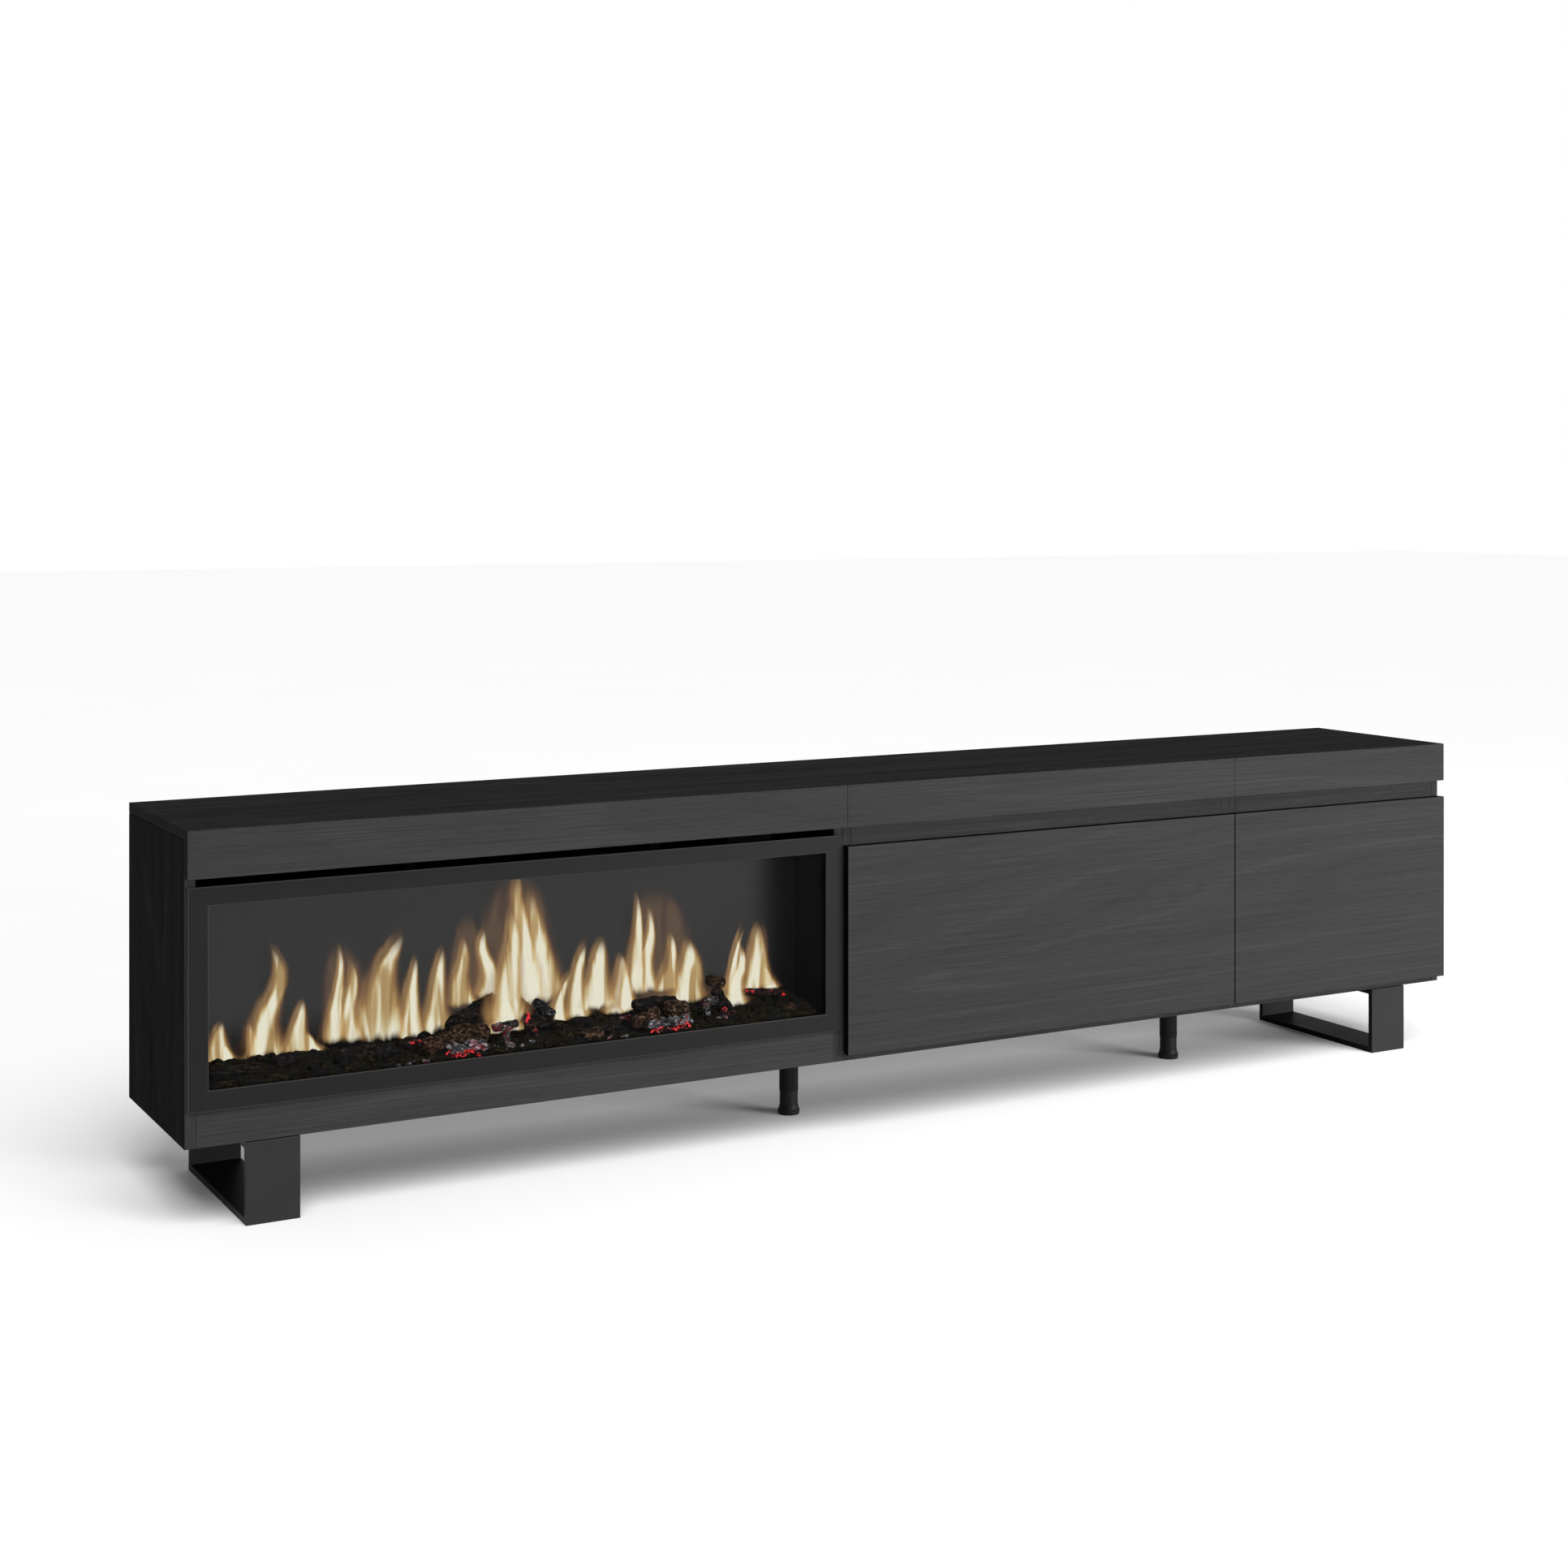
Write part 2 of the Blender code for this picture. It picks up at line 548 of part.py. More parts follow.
def heater(steel, metal, black):
    middle = (FIRE[0] + FIRE[1]) / 2
    x = (middle - HEATER_LENGTH / 2, middle + HEATER_LENGTH / 2)
    outlet_y = (BOX_Y[0] + GAP, BOX_Y[0] + GAP + OUTLET_DEPTH)
    y = (outlet_y[1] + GAP, outlet_y[1] + GAP + HEATER_DEPTH)
    z = (FIREBOX_TOP + GAP, TOP_UNDERSIDE - HEATER_HEAD_GAP)
    mouth_z = (FRAME_TOP + OUTLET_LIP, FASCIA_BOTTOM - OUTLET_LIP)
    housing = box("heater_housing", x, y, z, steel)
    hollow_z = (z[0] + SHEET, z[1] + SHEET)
    cut(housing, box_mesh(grown(x, -SHEET), grown(y, -SHEET), hollow_z))
    cut(housing, box_mesh(grown(x, -BOARD), (y[0] - SHEET, y[0] + 2 * SHEET), mouth_z))

    grille = box("heater_outlet", x, outlet_y, grown(mouth_z, OUTLET_LIP - GAP), black)
    pitch = (x[1] - x[0] - 2 * BOARD) / OUTLET_SLATS
    for k in range(OUTLET_SLATS):
        slot = (x[0] + BOARD + k * pitch + SHEET / 2, x[0] + BOARD + (k + 1) * pitch - SHEET / 2)
        cut(grille, box_mesh(slot, grown(outlet_y, SHEET), mouth_z))

    centre = (y[1] - SHEET - FAN_RADIUS - SHEET * 2, z[1] - FAN_RADIUS - SHEET * 5)
    fan_x = (middle - FAN_LENGTH / 2, middle + FAN_LENGTH / 2)
    wheel = star(centre, FAN_HUB, FAN_RADIUS, FAN_BLADES, math.radians(1.6))
    add_object("fan_wheel", prism_mesh(wheel, "X", *fan_x), metal, (0, *centre))
    motor_x = (fan_x[1] + GAP, fan_x[1] + GAP + FAN_MOTOR_LENGTH)
    add_object("fan_motor", prism_mesh(circle(centre, FAN_RADIUS), "X", *motor_x), black)

    element_y = (y[0] + SHEET * 2, y[0] + SHEET * 2 + ELEMENT_DEPTH)
    element_z = (z[0] + SHEET * 3, z[0] + SHEET * 3 + ELEMENT_HEIGHT)
    step = FAN_LENGTH / ELEMENT_FINS
    core = element_y[0] + ELEMENT_DEPTH / 3
    outline = [(fan_x[0], core)]
    for k in range(ELEMENT_FINS):
        left = fan_x[0] + k * step
        outline += [(left, element_y[1]), (left + step / 3, element_y[1]), (left + step / 3, core)]
        outline += [(left + step, core)] if k < ELEMENT_FINS - 1 else []
    outline += [(outline[-1][0], element_y[0]), (fan_x[0], element_y[0])]
    add_object("heating_element", prism_mesh(outline, "Z", *element_z), metal)


def controls(black, grey):
    x = (FIRE[1] - BOARD - PANEL_INSET - PANEL_WIDTH, FIRE[1] - BOARD - PANEL_INSET)
    face = BOX_Y[0] + FIREBOX_CLEARANCE
    low = FIREBOX_TOP + GAP
    outline = [
        (face, low),
        (face + PANEL_FOOT, low),
        (face + PANEL_FOOT, low + PANEL_SHEET),
        (face + PANEL_SHEET, low + PANEL_SHEET),
        (face + PANEL_SHEET, FASCIA_BOTTOM),
        (face, FASCIA_BOTTOM),
    ]
    panel = add_object("control_panel", prism_mesh(outline, "X", *x), black)
    middle = (x[0] + x[1]) / 2
    height = (FRAME_TOP + FASCIA_BOTTOM) / 2
    for name, step in (("button_flame", -0.5), ("button_heat", 0.5)):
        centre = (middle + step * BUTTON_SPACING, height)
        hole = circle(centre, BUTTON_RADIUS + BUTTON_CLEARANCE)
        cut(panel, prism_mesh(hole, "Y", face - PANEL_SHEET, face + 2 * PANEL_SHEET))
        start = face - PANEL_SHEET
        pressed = prism_mesh(circle(centre, BUTTON_RADIUS), "Y", start, start + BUTTON_LENGTH)
        add_object(name, pressed, grey, (centre[0], start, centre[1]))


def switch(middle_x, middle_z, black, grey):
    """The rocker switch and the cord's gland on the firebox's back, behind the service opening."""
    x = (middle_x + SWITCH_OFFSET, middle_x + SWITCH_OFFSET + SWITCH_WIDTH)
    z = (middle_z - SWITCH_HEIGHT / 2, middle_z + SWITCH_HEIGHT / 2)
    y = (BOX_Y[1] + GAP, BOX_Y[1] + GAP + SWITCH_DEPTH)
    bezel = box("switch_bezel", x, y, z, black)
    well_y = (y[0] + SWITCH_WALL, y[1] + SWITCH_WALL)
    cut(bezel, box_mesh(grown(x, -SWITCH_WALL), well_y, grown(z, -SWITCH_WALL)))

    half = SWITCH_HEIGHT / 2 - SWITCH_WALL - ROCKER_CLEARANCE
    out, deep, dip = 0.0025, -0.004, 0.0016
    pivot = (y[1] - out, middle_z)
    profile = [(deep, -half), (deep, half), (out, half), (dip, 0), (out, -half)]
    turn = Matrix.Rotation(ROCKER_TILT, 2)
    tilted = [turn @ Vector(point) for point in profile]
    outline = [(pivot[0] + point.x, pivot[1] + point.y) for point in tilted]
    span = grown(x, -SWITCH_WALL - ROCKER_CLEARANCE)
    add_object("power_rocker", prism_mesh(outline, "X", *span), grey, (0, *pivot))

    at = (middle_x - SWITCH_OFFSET, middle_z)
    gland_y = (BOX_Y[1] + GAP, BOX_Y[1] + GAP + GLAND_LENGTH)
    nut = prism_mesh(circle(at, GLAND_NUT_RADIUS, 6), "Y", gland_y[0], gland_y[0] + GLAND_LENGTH / 3)
    gland = add_object("cord_gland", nut, black)
    join(gland, prism_mesh(circle(at, GLAND_RADIUS), "Y", gland_y[0] + SHEET, gland_y[1]))


def sled_leg(name, x, metal):
    """A closed loop of flat bar that stands on the floor."""
    y = (FRONT + SLED_SETBACK, BACK - SLED_SETBACK)
    z = (0, LEG_HEIGHT - GAP)
    leg = box(name, x, y, z, metal)
    cut(leg, box_mesh(grown(x, BOARD), grown(y, -SLED_BAR), grown(z, -SLED_BAR)))


def round_leg(side, x, metal, black):
    """A round leg with a threaded hole, and the screw foot that stands in it."""
    hole = STEM_RADIUS + STEM_CLEARANCE
    top = LEG_HEIGHT - GAP
    profile = [(ROUND_LEG_RADIUS, ROUND_LEG_STEP), (ROUND_LEG_RADIUS, top)]
    leg = add_object(f"round_leg_{side}", turned_mesh(profile, (x, 0)), metal)
    deep = ROUND_LEG_STEP + STEM_LENGTH + GAP
    cut(leg, prism_mesh(circle((x, 0), hole, 24), "Z", ROUND_LEG_STEP - BOARD, deep))
    neck = ROUND_LEG_STEP - GAP
    foot = [
        (FOOT_RADIUS, 0),
        (FOOT_RADIUS, FOOT_HEIGHT / 4),
        (FOOT_NECK_RADIUS, FOOT_HEIGHT),
        (FOOT_TUBE_RADIUS, FOOT_HEIGHT),
        (FOOT_TUBE_RADIUS, neck),
        (STEM_RADIUS, neck),
        (STEM_RADIUS, neck + STEM_LENGTH),
    ]
    add_object(f"leveller_{side}", turned_mesh(foot, (x, 0)), black, (x, 0, 0))


def legs(metal, black):
    inset = LEFT + SLED_INSET
    sled_leg("sled_leg_left", (inset, inset + SLED_BAR_WIDTH), metal)
    sled_leg("sled_leg_right", (-inset - SLED_BAR_WIDTH, -inset), metal)
    round_leg("left", FIRE[1] - ROUND_LEG_OFFSET, metal, black)
    round_leg("right", FLAP[1] - ROUND_LEG_OFFSET, metal, black)


def main():
    clear_scene()
    wood = {
        "front": material("black_wood_front", (0.060, 0.060, 0.062), 0.45),
        "side": material("black_wood_side", (0.030, 0.030, 0.032), 0.55),
    }
    sheet = material("back_sheet", (0.040, 0.040, 0.042), 0.7)
    satin = material("satin_black_metal", (0.035, 0.035, 0.037), 0.4, 0.6)
    gloss = material("black_trim", (0.030, 0.031, 0.034), 0.25, 0.2)
    steel = material("galvanised_sheet", (0.10, 0.10, 0.11), 0.5, 0.8)
    plated = material("plated_steel", (0.55, 0.55, 0.56), 0.3, 1.0)
    clear = material("front_glass", (0.8, 0.82, 0.84), 0.05, 0.0, 0.2)
    dark = material("flame_screen", (0.03, 0.03, 0.035), 0.2)
    coal = material("coal", (0.02, 0.015, 0.012), 0.9)
    bark = material("bark", (0.05, 0.032, 0.02), 0.85)
    light = material("light_bar", (0.9, 0.75, 0.5), 0.4)
    black = material("black_plastic", (0.02, 0.02, 0.02), 0.5)
    grey = material("button_grey", (0.12, 0.12, 0.12), 0.4)

    middle_x, middle_z = fire_module(wood, sheet)
    trim_frame(gloss)
    firebox(steel, clear, dark)
    ember_bed(coal)
    logs(bark)
    flame_mechanism(plated, black, light)
    heater(steel, plated, black)
    controls(black, grey)
    switch(middle_x, middle_z, black, grey)
    flap_module(wood, plated, sheet)
    door_module(wood, plated, sheet)
    legs(satin, black)


main()
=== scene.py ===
import math
import random

import bpy
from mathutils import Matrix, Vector


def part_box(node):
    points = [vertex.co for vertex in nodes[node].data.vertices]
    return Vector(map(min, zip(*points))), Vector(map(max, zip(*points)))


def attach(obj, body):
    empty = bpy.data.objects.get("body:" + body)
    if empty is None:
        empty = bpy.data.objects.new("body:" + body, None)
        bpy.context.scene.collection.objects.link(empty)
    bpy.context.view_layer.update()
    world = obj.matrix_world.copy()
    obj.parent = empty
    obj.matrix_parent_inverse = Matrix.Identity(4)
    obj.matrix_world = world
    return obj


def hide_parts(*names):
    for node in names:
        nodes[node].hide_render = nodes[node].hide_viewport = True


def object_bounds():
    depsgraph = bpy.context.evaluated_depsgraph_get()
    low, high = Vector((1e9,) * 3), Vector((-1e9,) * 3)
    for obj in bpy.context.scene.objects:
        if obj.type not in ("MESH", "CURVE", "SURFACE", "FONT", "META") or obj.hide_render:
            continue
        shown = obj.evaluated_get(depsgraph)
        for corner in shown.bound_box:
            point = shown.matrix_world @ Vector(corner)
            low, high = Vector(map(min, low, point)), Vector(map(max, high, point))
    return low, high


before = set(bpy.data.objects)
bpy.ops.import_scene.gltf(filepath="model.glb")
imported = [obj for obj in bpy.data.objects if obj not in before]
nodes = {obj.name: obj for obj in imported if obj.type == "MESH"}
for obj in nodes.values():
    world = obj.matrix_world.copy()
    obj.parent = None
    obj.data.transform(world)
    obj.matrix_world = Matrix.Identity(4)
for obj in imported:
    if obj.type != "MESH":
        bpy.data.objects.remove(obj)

modelLow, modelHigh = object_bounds()
sheetThick = 0.002  # of the firebox's walls
print("frame loaded:", len(nodes), "nodes")


def clearSelection():  # nothing selected, in object mode
    if bpy.context.mode != "OBJECT":
        bpy.ops.object.mode_set(mode="OBJECT")
    bpy.ops.object.select_all(action="DESELECT")


def added(name):  # the primitive that was just added, under its own name
    piece = bpy.context.object
    piece.name = piece.data.name = name
    return piece


def takeHold(piece):  # this piece alone is selected and active
    clearSelection()
    piece.select_set(True)
    bpy.context.view_layer.objects.active = piece


def pick(piece, test, kind="FACE"):  # leaves edit mode open with what passes the test selected
    takeHold(piece)
    bpy.ops.object.mode_set(mode="EDIT")
    bpy.ops.mesh.select_mode(type=kind)
    bpy.ops.mesh.select_all(action="DESELECT")
    bpy.ops.object.mode_set(mode="OBJECT")
    points = piece.data.vertices
    if kind == "FACE":
        for face in piece.data.polygons:
            face.select = test(face.center, face.normal)
    elif kind == "EDGE":
        for edge in piece.data.edges:
            edge.select = test(*(points[end].co for end in edge.vertices))
    else:
        for point in points:
            point.select = test(point.co)
    bpy.ops.object.mode_set(mode="EDIT")


def applied(piece, kind, **settings):  # a modifier, set and applied
    takeHold(piece)
    modifier = piece.modifiers.new(kind.title(), kind)
    for key, value in settings.items():
        setattr(modifier, key, value)
    bpy.ops.object.modifier_apply(modifier=modifier.name)


def clouds(size):  # soft bumps for a Displace modifier
    texture = bpy.data.textures.new("clouds", "CLOUDS")
    texture.noise_scale, texture.noise_depth = size, 2
    return texture


def copyOf(piece, name):  # with its own mesh
    twin = piece.copy()
    twin.data = piece.data.copy()
    twin.name = twin.data.name = name
    bpy.context.scene.collection.objects.link(twin)
    return twin


def rod(name, sides, radius, length, place=(0, 0, 0), turn=(0, 0, 0)):
    clearSelection()
    bpy.ops.mesh.primitive_cylinder_add(vertices=sides, radius=radius, depth=length, location=place,
                                        rotation=turn)
    piece = added(name)
    bpy.ops.object.transform_apply(location=True, rotation=True)
    return piece


def joined(parts, name):
    clearSelection()
    for part in parts:
        part.select_set(True)
    bpy.context.view_layer.objects.active = parts[0]
    if len(parts) > 1:
        bpy.ops.object.join()
    return added(name)


def finished(piece, body, finish, stands=(), smooth=40):
    # its place goes into its mesh and its faces point outwards, and it rides on the body
    takeHold(piece)
    bpy.ops.object.transform_apply(location=True, rotation=True, scale=True)
    bpy.ops.object.mode_set(mode="EDIT")
    bpy.ops.mesh.select_all(action="SELECT")
    bpy.ops.mesh.normals_make_consistent(inside=False)
    bpy.ops.object.mode_set(mode="OBJECT")
    if smooth:
        bpy.ops.object.shade_smooth_by_angle(angle=math.radians(smooth))
    piece.data.materials.clear()
    piece.data.materials.append(finish)
    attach(piece, body)
    if stands:
        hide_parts(*stands)
    return piece


class Wire:  # a number or a colour on its way through a finish
    def __init__(self, finish, socket):
        self.finish, self.socket = finish, socket

    def sum(self, operation, first, second):
        return self.finish.node("Math", {"operation": operation}, {0: first, 1: second})

    def __add__(self, other):
        return self.sum("ADD", self, other)

    def __sub__(self, other):
        return self.sum("SUBTRACT", self, other)

    def __rsub__(self, other):
        return self.sum("SUBTRACT", other, self)

    def __mul__(self, other):
        return self.sum("MULTIPLY", self, other)

    def __pow__(self, other):
        return self.sum("POWER", self, other)

    __radd__, __rmul__ = __add__, __mul__


class Finish:  # a material, mixed on Object coordinates
    def __init__(self, name):
        self.material = bpy.data.materials.new(name)
        self.material.use_nodes = True
        self.tree = self.material.node_tree
        self.tree.nodes.clear()
        self.place = self.node("TexCoord", {}, {}, "Object")

    def node(self, kind, settings, sockets, out=0):
        made = self.tree.nodes.new("ShaderNode" + kind)
        for key, value in settings.items():
            if key == "stops":
                while len(made.color_ramp.elements) < len(value):
                    made.color_ramp.elements.new(0.5)
                for element, (spot, colour) in zip(made.color_ramp.elements, value):
                    element.position, element.color = spot, colour
            else:
                setattr(made, key, value)
        for key, value in sockets.items():
            if isinstance(value, Wire):
                self.tree.links.new(value.socket, made.inputs[key])
            else:
                made.inputs[key].default_value = value
        return Wire(self, made.outputs[out]) if made.outputs else made

    def noise(self, scale, detail=3, roughness=0.5, warp=0, start=(0, 0, 0)):
        spot = self.node("Mapping", {}, {"Vector": self.place, "Location": start, "Scale": scale})
        levels = {"Vector": spot, "Scale": 1, "Detail": detail, "Roughness": roughness, "Distortion": warp}
        return self.node("TexNoise", {}, levels, "Fac")

    def step(self, value, low, high):  # 0 below low, 1 above high, smooth between
        limits = {"Value": value, "From Min": low, "From Max": high}
        return self.node("MapRange", {"interpolation_type": "SMOOTHSTEP"}, limits, "Result")

    def blend(self, share, first, second):
        return self.node("Mix", {"data_type": "RGBA"}, {0: share, 6: first, 7: second}, 2)

    def parts(self, vector, letters="XYZ"):
        return [self.node("SeparateXYZ", {}, {"Vector": vector}, letter) for letter in letters]

    def axis(self, letter):
        return self.parts(self.place, letter)[0]

    def surface(self, height=None, depth=0.0005, bump=0.3, **sockets):
        names = {key: key.replace("_", " ").title().replace("Ior", "IOR") for key in sockets}
        values = {names[key]: value for key, value in sockets.items()}
        if height is not None:
            relief = {"Height": height, "Distance": depth, "Strength": bump}
            values["Normal"] = self.node("Bump", {}, relief, "Normal")
        shader = self.node("BsdfPrincipled", {}, values, "BSDF")
        self.node("OutputMaterial", {}, {"Surface": shader})
        return self.material


def grey(level, warm=0):
    return (level * (1 + warm), level, level * (1 - warm), 1)


# black stained wood: the grain runs the long way of each board
wood = {
    "front": 0.0292,  # level of each side, from 0 black to 1 white; one stain, with painted light on the front, painted shade on the top and side, and painted shadow in the gaps as the edge
    "top": 0.0183,
    "side": 0.0124,
    "inside": 0.0175,
    # painted shadow in the gaps: the up and sideways faces of the fronts, and the uprights' top ends
    "edge": 0.0030,
    "contrast": 0.34,
    "frontGloss": 0.012,
    "streaks": 400,  # lines of grain in a metre
    "bands": 26,
    "rings": 12,
}
facingLimits = (0.35, 0.85)  # how far a face turns towards a side before it takes that side's level, with its painted light and shade


def blackWood(name, tone, along, depth, gloss, upper, ends=0):
    # painted light and shade by facing: what faces the front takes the front's paler level, painted as lit
    # what faces up takes its own painted shade, and so do a panel's ends
    finish = Finish(name)
    facing = finish.node("TexCoord", {}, {}, "Normal")
    sideways, forward, upward = finish.parts(facing)
    # painted light: the share that faces the front is painted paler
    frontLitShare = finish.step(0 - forward, *facingLimits)
    # painted shade: the share that faces up, and sideways where ends is set, is painted darker
    above = finish.step(upward + sideways * sideways * ends, *facingLimits)
    cross, run = {"x": ((0, 1, 1), (1, 0, 0)), "z": ((1, 1, 0), (0, 0, 1))}[along]

    def grain(across, lengthwise):
        return [across * c + lengthwise * r for c, r in zip(cross, run)]

    streaks = finish.noise(grain(wood["streaks"], 3.2), 3, 0.6)
    pores = finish.noise(grain(wood["streaks"] * 3, 30), 2, 0.7, 0, (3, 5, 7))
    bands = finish.noise(grain(wood["bands"], 0.9), 2, 0.5, 0.15, (9, 2, 4))
    figure = finish.noise(grain(3.2, 0.42), 1, 0.3, 0.15, (1, 8, 6)) * (wood["rings"] * 2 * math.pi)
    wave = figure.sum("SINE", figure, 0)
    rings = finish.step(wave, 0.86, 1.0) * finish.step(streaks, 0.38, 0.56)
    valleys = 1 - finish.step(wave, -1.0, -0.82)
    lines = (streaks - 0.5) * 1.15 + (bands - 0.5) * 0.22 + (pores - 0.5) * 1.1
    share = lines + rings * 0.2 - valleys * 0.09 + 0.5

    def shadedStain(level, swing):
        return finish.blend(share, grey(level * (1 - swing)), grey(level * (1 + swing)))

    body = finish.blend(above, shadedStain(tone, depth), shadedStain(upper, depth))
    return finish.surface(
        base_color=finish.blend(frontLitShare, body, shadedStain(wood["front"], wood["contrast"])),
        roughness=0.52 + streaks * 0.2,
        specular_ior_level=gloss,
        height=streaks * 0.5 + pores * 0.5 - valleys * 0.2,
        depth=0.0004,
        bump=0.25,
    )


def paintedMetal(name, tone, roughness, speck=900, gloss=0.06, rim=1.6, away=1):
    # the rounded edges get a painted highlight, paler than the flats
    # what faces away from the front is painted darker, as shaded
    finish = Finish(name)
    facing = finish.node("TexCoord", {}, {}, "Normal")
    square = finish.node("VectorMath", {"operation": "ABSOLUTE"}, {0: facing})
    spread = finish.node("VectorMath", {"operation": "DOT_PRODUCT"}, {0: square, 1: (1, 1, 1)}, "Value")
    # painted highlight: the rounded edges, rim times the tone
    edgeHighlight = finish.step(spread, 1.12, 1.3)
    # painted shade: faces turned from the front are darkened to a share of the tone
    forward = finish.step(0 - finish.parts(facing, "Y")[0], *facingLimits)
    shade = forward * (1 - away) + away
    peel = finish.noise((speck, speck, speck), 2)
    patch = finish.noise((14, 14, 14), 3, 0.5, 0.2)
    flat = finish.blend((patch * 0.28 + 0.86) * shade, grey(0), grey(tone))
    return finish.surface(
        base_color=finish.blend(edgeHighlight * shade, flat, grey(tone * rim)),
        roughness=roughness - 0.06 + patch * 0.12,
        specular_ior_level=gloss,
        height=peel,
        depth=0.0002,
        bump=0.12,
    )


def zincSheet(name, behind):
    # bare zinc with its crystal flakes behind the given depth, blackened in front of it
    finish = Finish(name)
    cells = {"Vector": finish.place, "Scale": 85, "Randomness": 1}
    flakes = finish.node("TexVoronoi", {}, cells, "Color")
    flake = finish.node("SeparateColor", {}, {"Color": flakes}, "Red")
    scuffs = finish.noise((60, 60, 200), 3, 0.6)
    bare = finish.step(finish.axis("Y"), behind - 0.001, behind - 0.0005)
    zinc = finish.blend(flake * 0.6 + scuffs * 0.4, grey(0.16, -0.02), grey(0.30, -0.02))
    return finish.surface(
        base_color=finish.blend(bare, finish.blend(scuffs, grey(0.0010), grey(0.0018)), zinc),
        roughness=0.42 + scuffs * 0.2,
        metallic=bare * 0.7,
        specular_ior_level=0.02,
        height=flake + scuffs,
        depth=0.0001,
        bump=0.15,
    )


def hardboard(name):
    finish = Finish(name)
    fibres = finish.noise((520, 60, 210), 4, 0.75, 1.2)
    flakes = finish.noise((90, 90, 60), 3, 0.6, 0.8, (2, 6, 1))
    mottle = finish.noise((6, 6, 6), 3)
    share = (fibres - 0.5) * 1.5 + (flakes - 0.5) * 0.9 + (mottle - 0.5) * 0.7 + 0.5
    return finish.surface(
        base_color=finish.blend(share, grey(0.010, 0.05), grey(0.046, 0.07)),
        roughness=0.72 + fibres * 0.16,
        specular_ior_level=0.15,
        height=fibres + flakes * 0.5,
        depth=0.0005,
        bump=0.5,
    )


def brushedSteel(name, tone):
    finish = Finish(name)
    lines = finish.noise((1400, 90, 1400), 2, 0.6)
    smudge = finish.noise((60, 60, 60), 3)
    return finish.surface(
        base_color=finish.blend(lines * 0.6 + smudge * 0.4, grey(tone * 0.8), grey(tone * 1.15)),
        roughness=0.24 + smudge * 0.2,
        metallic=0.9 + lines * 0.1,
        height=lines,
        depth=0.0001,
        bump=0.2,
    )


def mouldedPlastic(name, tone, roughness=0.5, gloss=0.15):
    finish = Finish(name)
    spark = finish.noise((1600, 1600, 1600), 2, 0.6)
    wear = finish.noise((40, 40, 40), 3)
    return finish.surface(
        base_color=finish.blend(wear, grey(tone * 0.85), grey(tone * 1.2)),
        roughness=roughness + (spark - 0.5) * 0.2,
        specular_ior_level=gloss,
        height=spark,
        depth=0.00015,
        bump=0.25,
    )


def clearGlass(name):
    finish = Finish(name)
    film = finish.noise((5, 5, 5), 2)
    return finish.surface(
        base_color=(0.02, 0.022, 0.022, 1),
        roughness=0.03 + film * 0.03,
        alpha=0.015 + film * 0.015,
    )


# painted light on the flame screen, emitted: an even lit level, brighter towards the middle, with painted
# shade fading to dark at the right end and at the foot above the bed
screenPaintedLight = {  # lengths in metres from the hollow's left wall and floor
    "level": 0.0325,
    "fade": (0.915, 1.005),
    "darkFoot": (0.020, 0.095),
    "middle": 0.24,
    "climb": (0.0, 0.7),
    "dark": 0.0012,
}


def smokedScreen(name):
    # the screen's light and shade are painted into its emission
    finish = Finish(name)
    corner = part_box("firebox")[0]
    along = finish.axis("X") - (corner.x + sheetThick)
    weave = finish.noise((500, 500, 500), 2)
    cloud = finish.noise((2.4, 2.4, 3.2), 2)
    # painted shadow: dark at the foot, just above the bed
    above = finish.step(finish.axis("Z") - (corner.z + cloud * 0.02), *screenPaintedLight["darkFoot"])
    # painted shade: fading to dark towards the right end
    lit = (1 - finish.step(along, *screenPaintedLight["fade"])) * above * (0.86 + cloud * 0.2)
    lit = lit * (finish.step(along, *screenPaintedLight["climb"]) * screenPaintedLight["middle"] + 1)
    bright = grey(screenPaintedLight["level"], 0.01)
    shade = finish.blend(lit * (0.95 + weave * 0.1), grey(screenPaintedLight["dark"]), bright)
    return finish.surface(
        base_color=grey(0.002),
        roughness=0.45 + weave * 0.1,
        specular_ior_level=0.03,
        emission_color=shade,
        emission_strength=1.0,
    )


def glowingBar(name):
    finish = Finish(name)
    grain = finish.noise((300, 300, 300), 2)
    return finish.surface(
        base_color=(0.8, 0.6, 0.35, 1),
        roughness=0.5 + grain * 0.2,
        emission_color=finish.blend(grain, (1.0, 0.45, 0.14, 1), (1.0, 0.62, 0.3, 1)),
        emission_strength=0.6,
    )


fireTints = {"char": grey(0.004), "ash": (0.42, 0.42, 0.45, 1), "fire": (0.85, 0.03, 0.035, 1)}


def emberBark(name, pale, dark, char, ash, glow, heart=0.5):
    # split bark: pale ridges, dark cracks, char, ash on the high spots, fire in the cracks
    finish = Finish(name)
    ridge = finish.noise((150, 150, 260), 4, 0.65, 0.8)
    patch = finish.noise((36, 36, 36), 3, 0.6, 0.4, (4, 1, 2))
    cells = {"Vector": finish.place, "Scale": 95}
    crack = finish.node("TexVoronoi", {"feature": "DISTANCE_TO_EDGE"}, cells, "Distance")
    burnt = finish.step(patch, char, char + 0.12)
    bark = finish.blend(finish.step(ridge, 0.44, 0.68), (*dark, 1), (*pale, 1))
    body = finish.blend(burnt, bark, fireTints["char"])
    dust = finish.step(ridge, 0.56, 0.7) * ash
    fire = (1 - finish.step(crack, 0.02, 0.16)) * finish.step(patch, heart, heart + 0.1) * glow
    return finish.surface(
        base_color=finish.blend(dust, body, fireTints["ash"]),
        roughness=0.82 + ridge * 0.14,
        specular_ior_level=0.03,
        emission_color=finish.blend(fire, grey(0), fireTints["fire"]),
        emission_strength=1.0,
        height=ridge + crack,
        depth=0.0016,
        bump=0.8,
    )


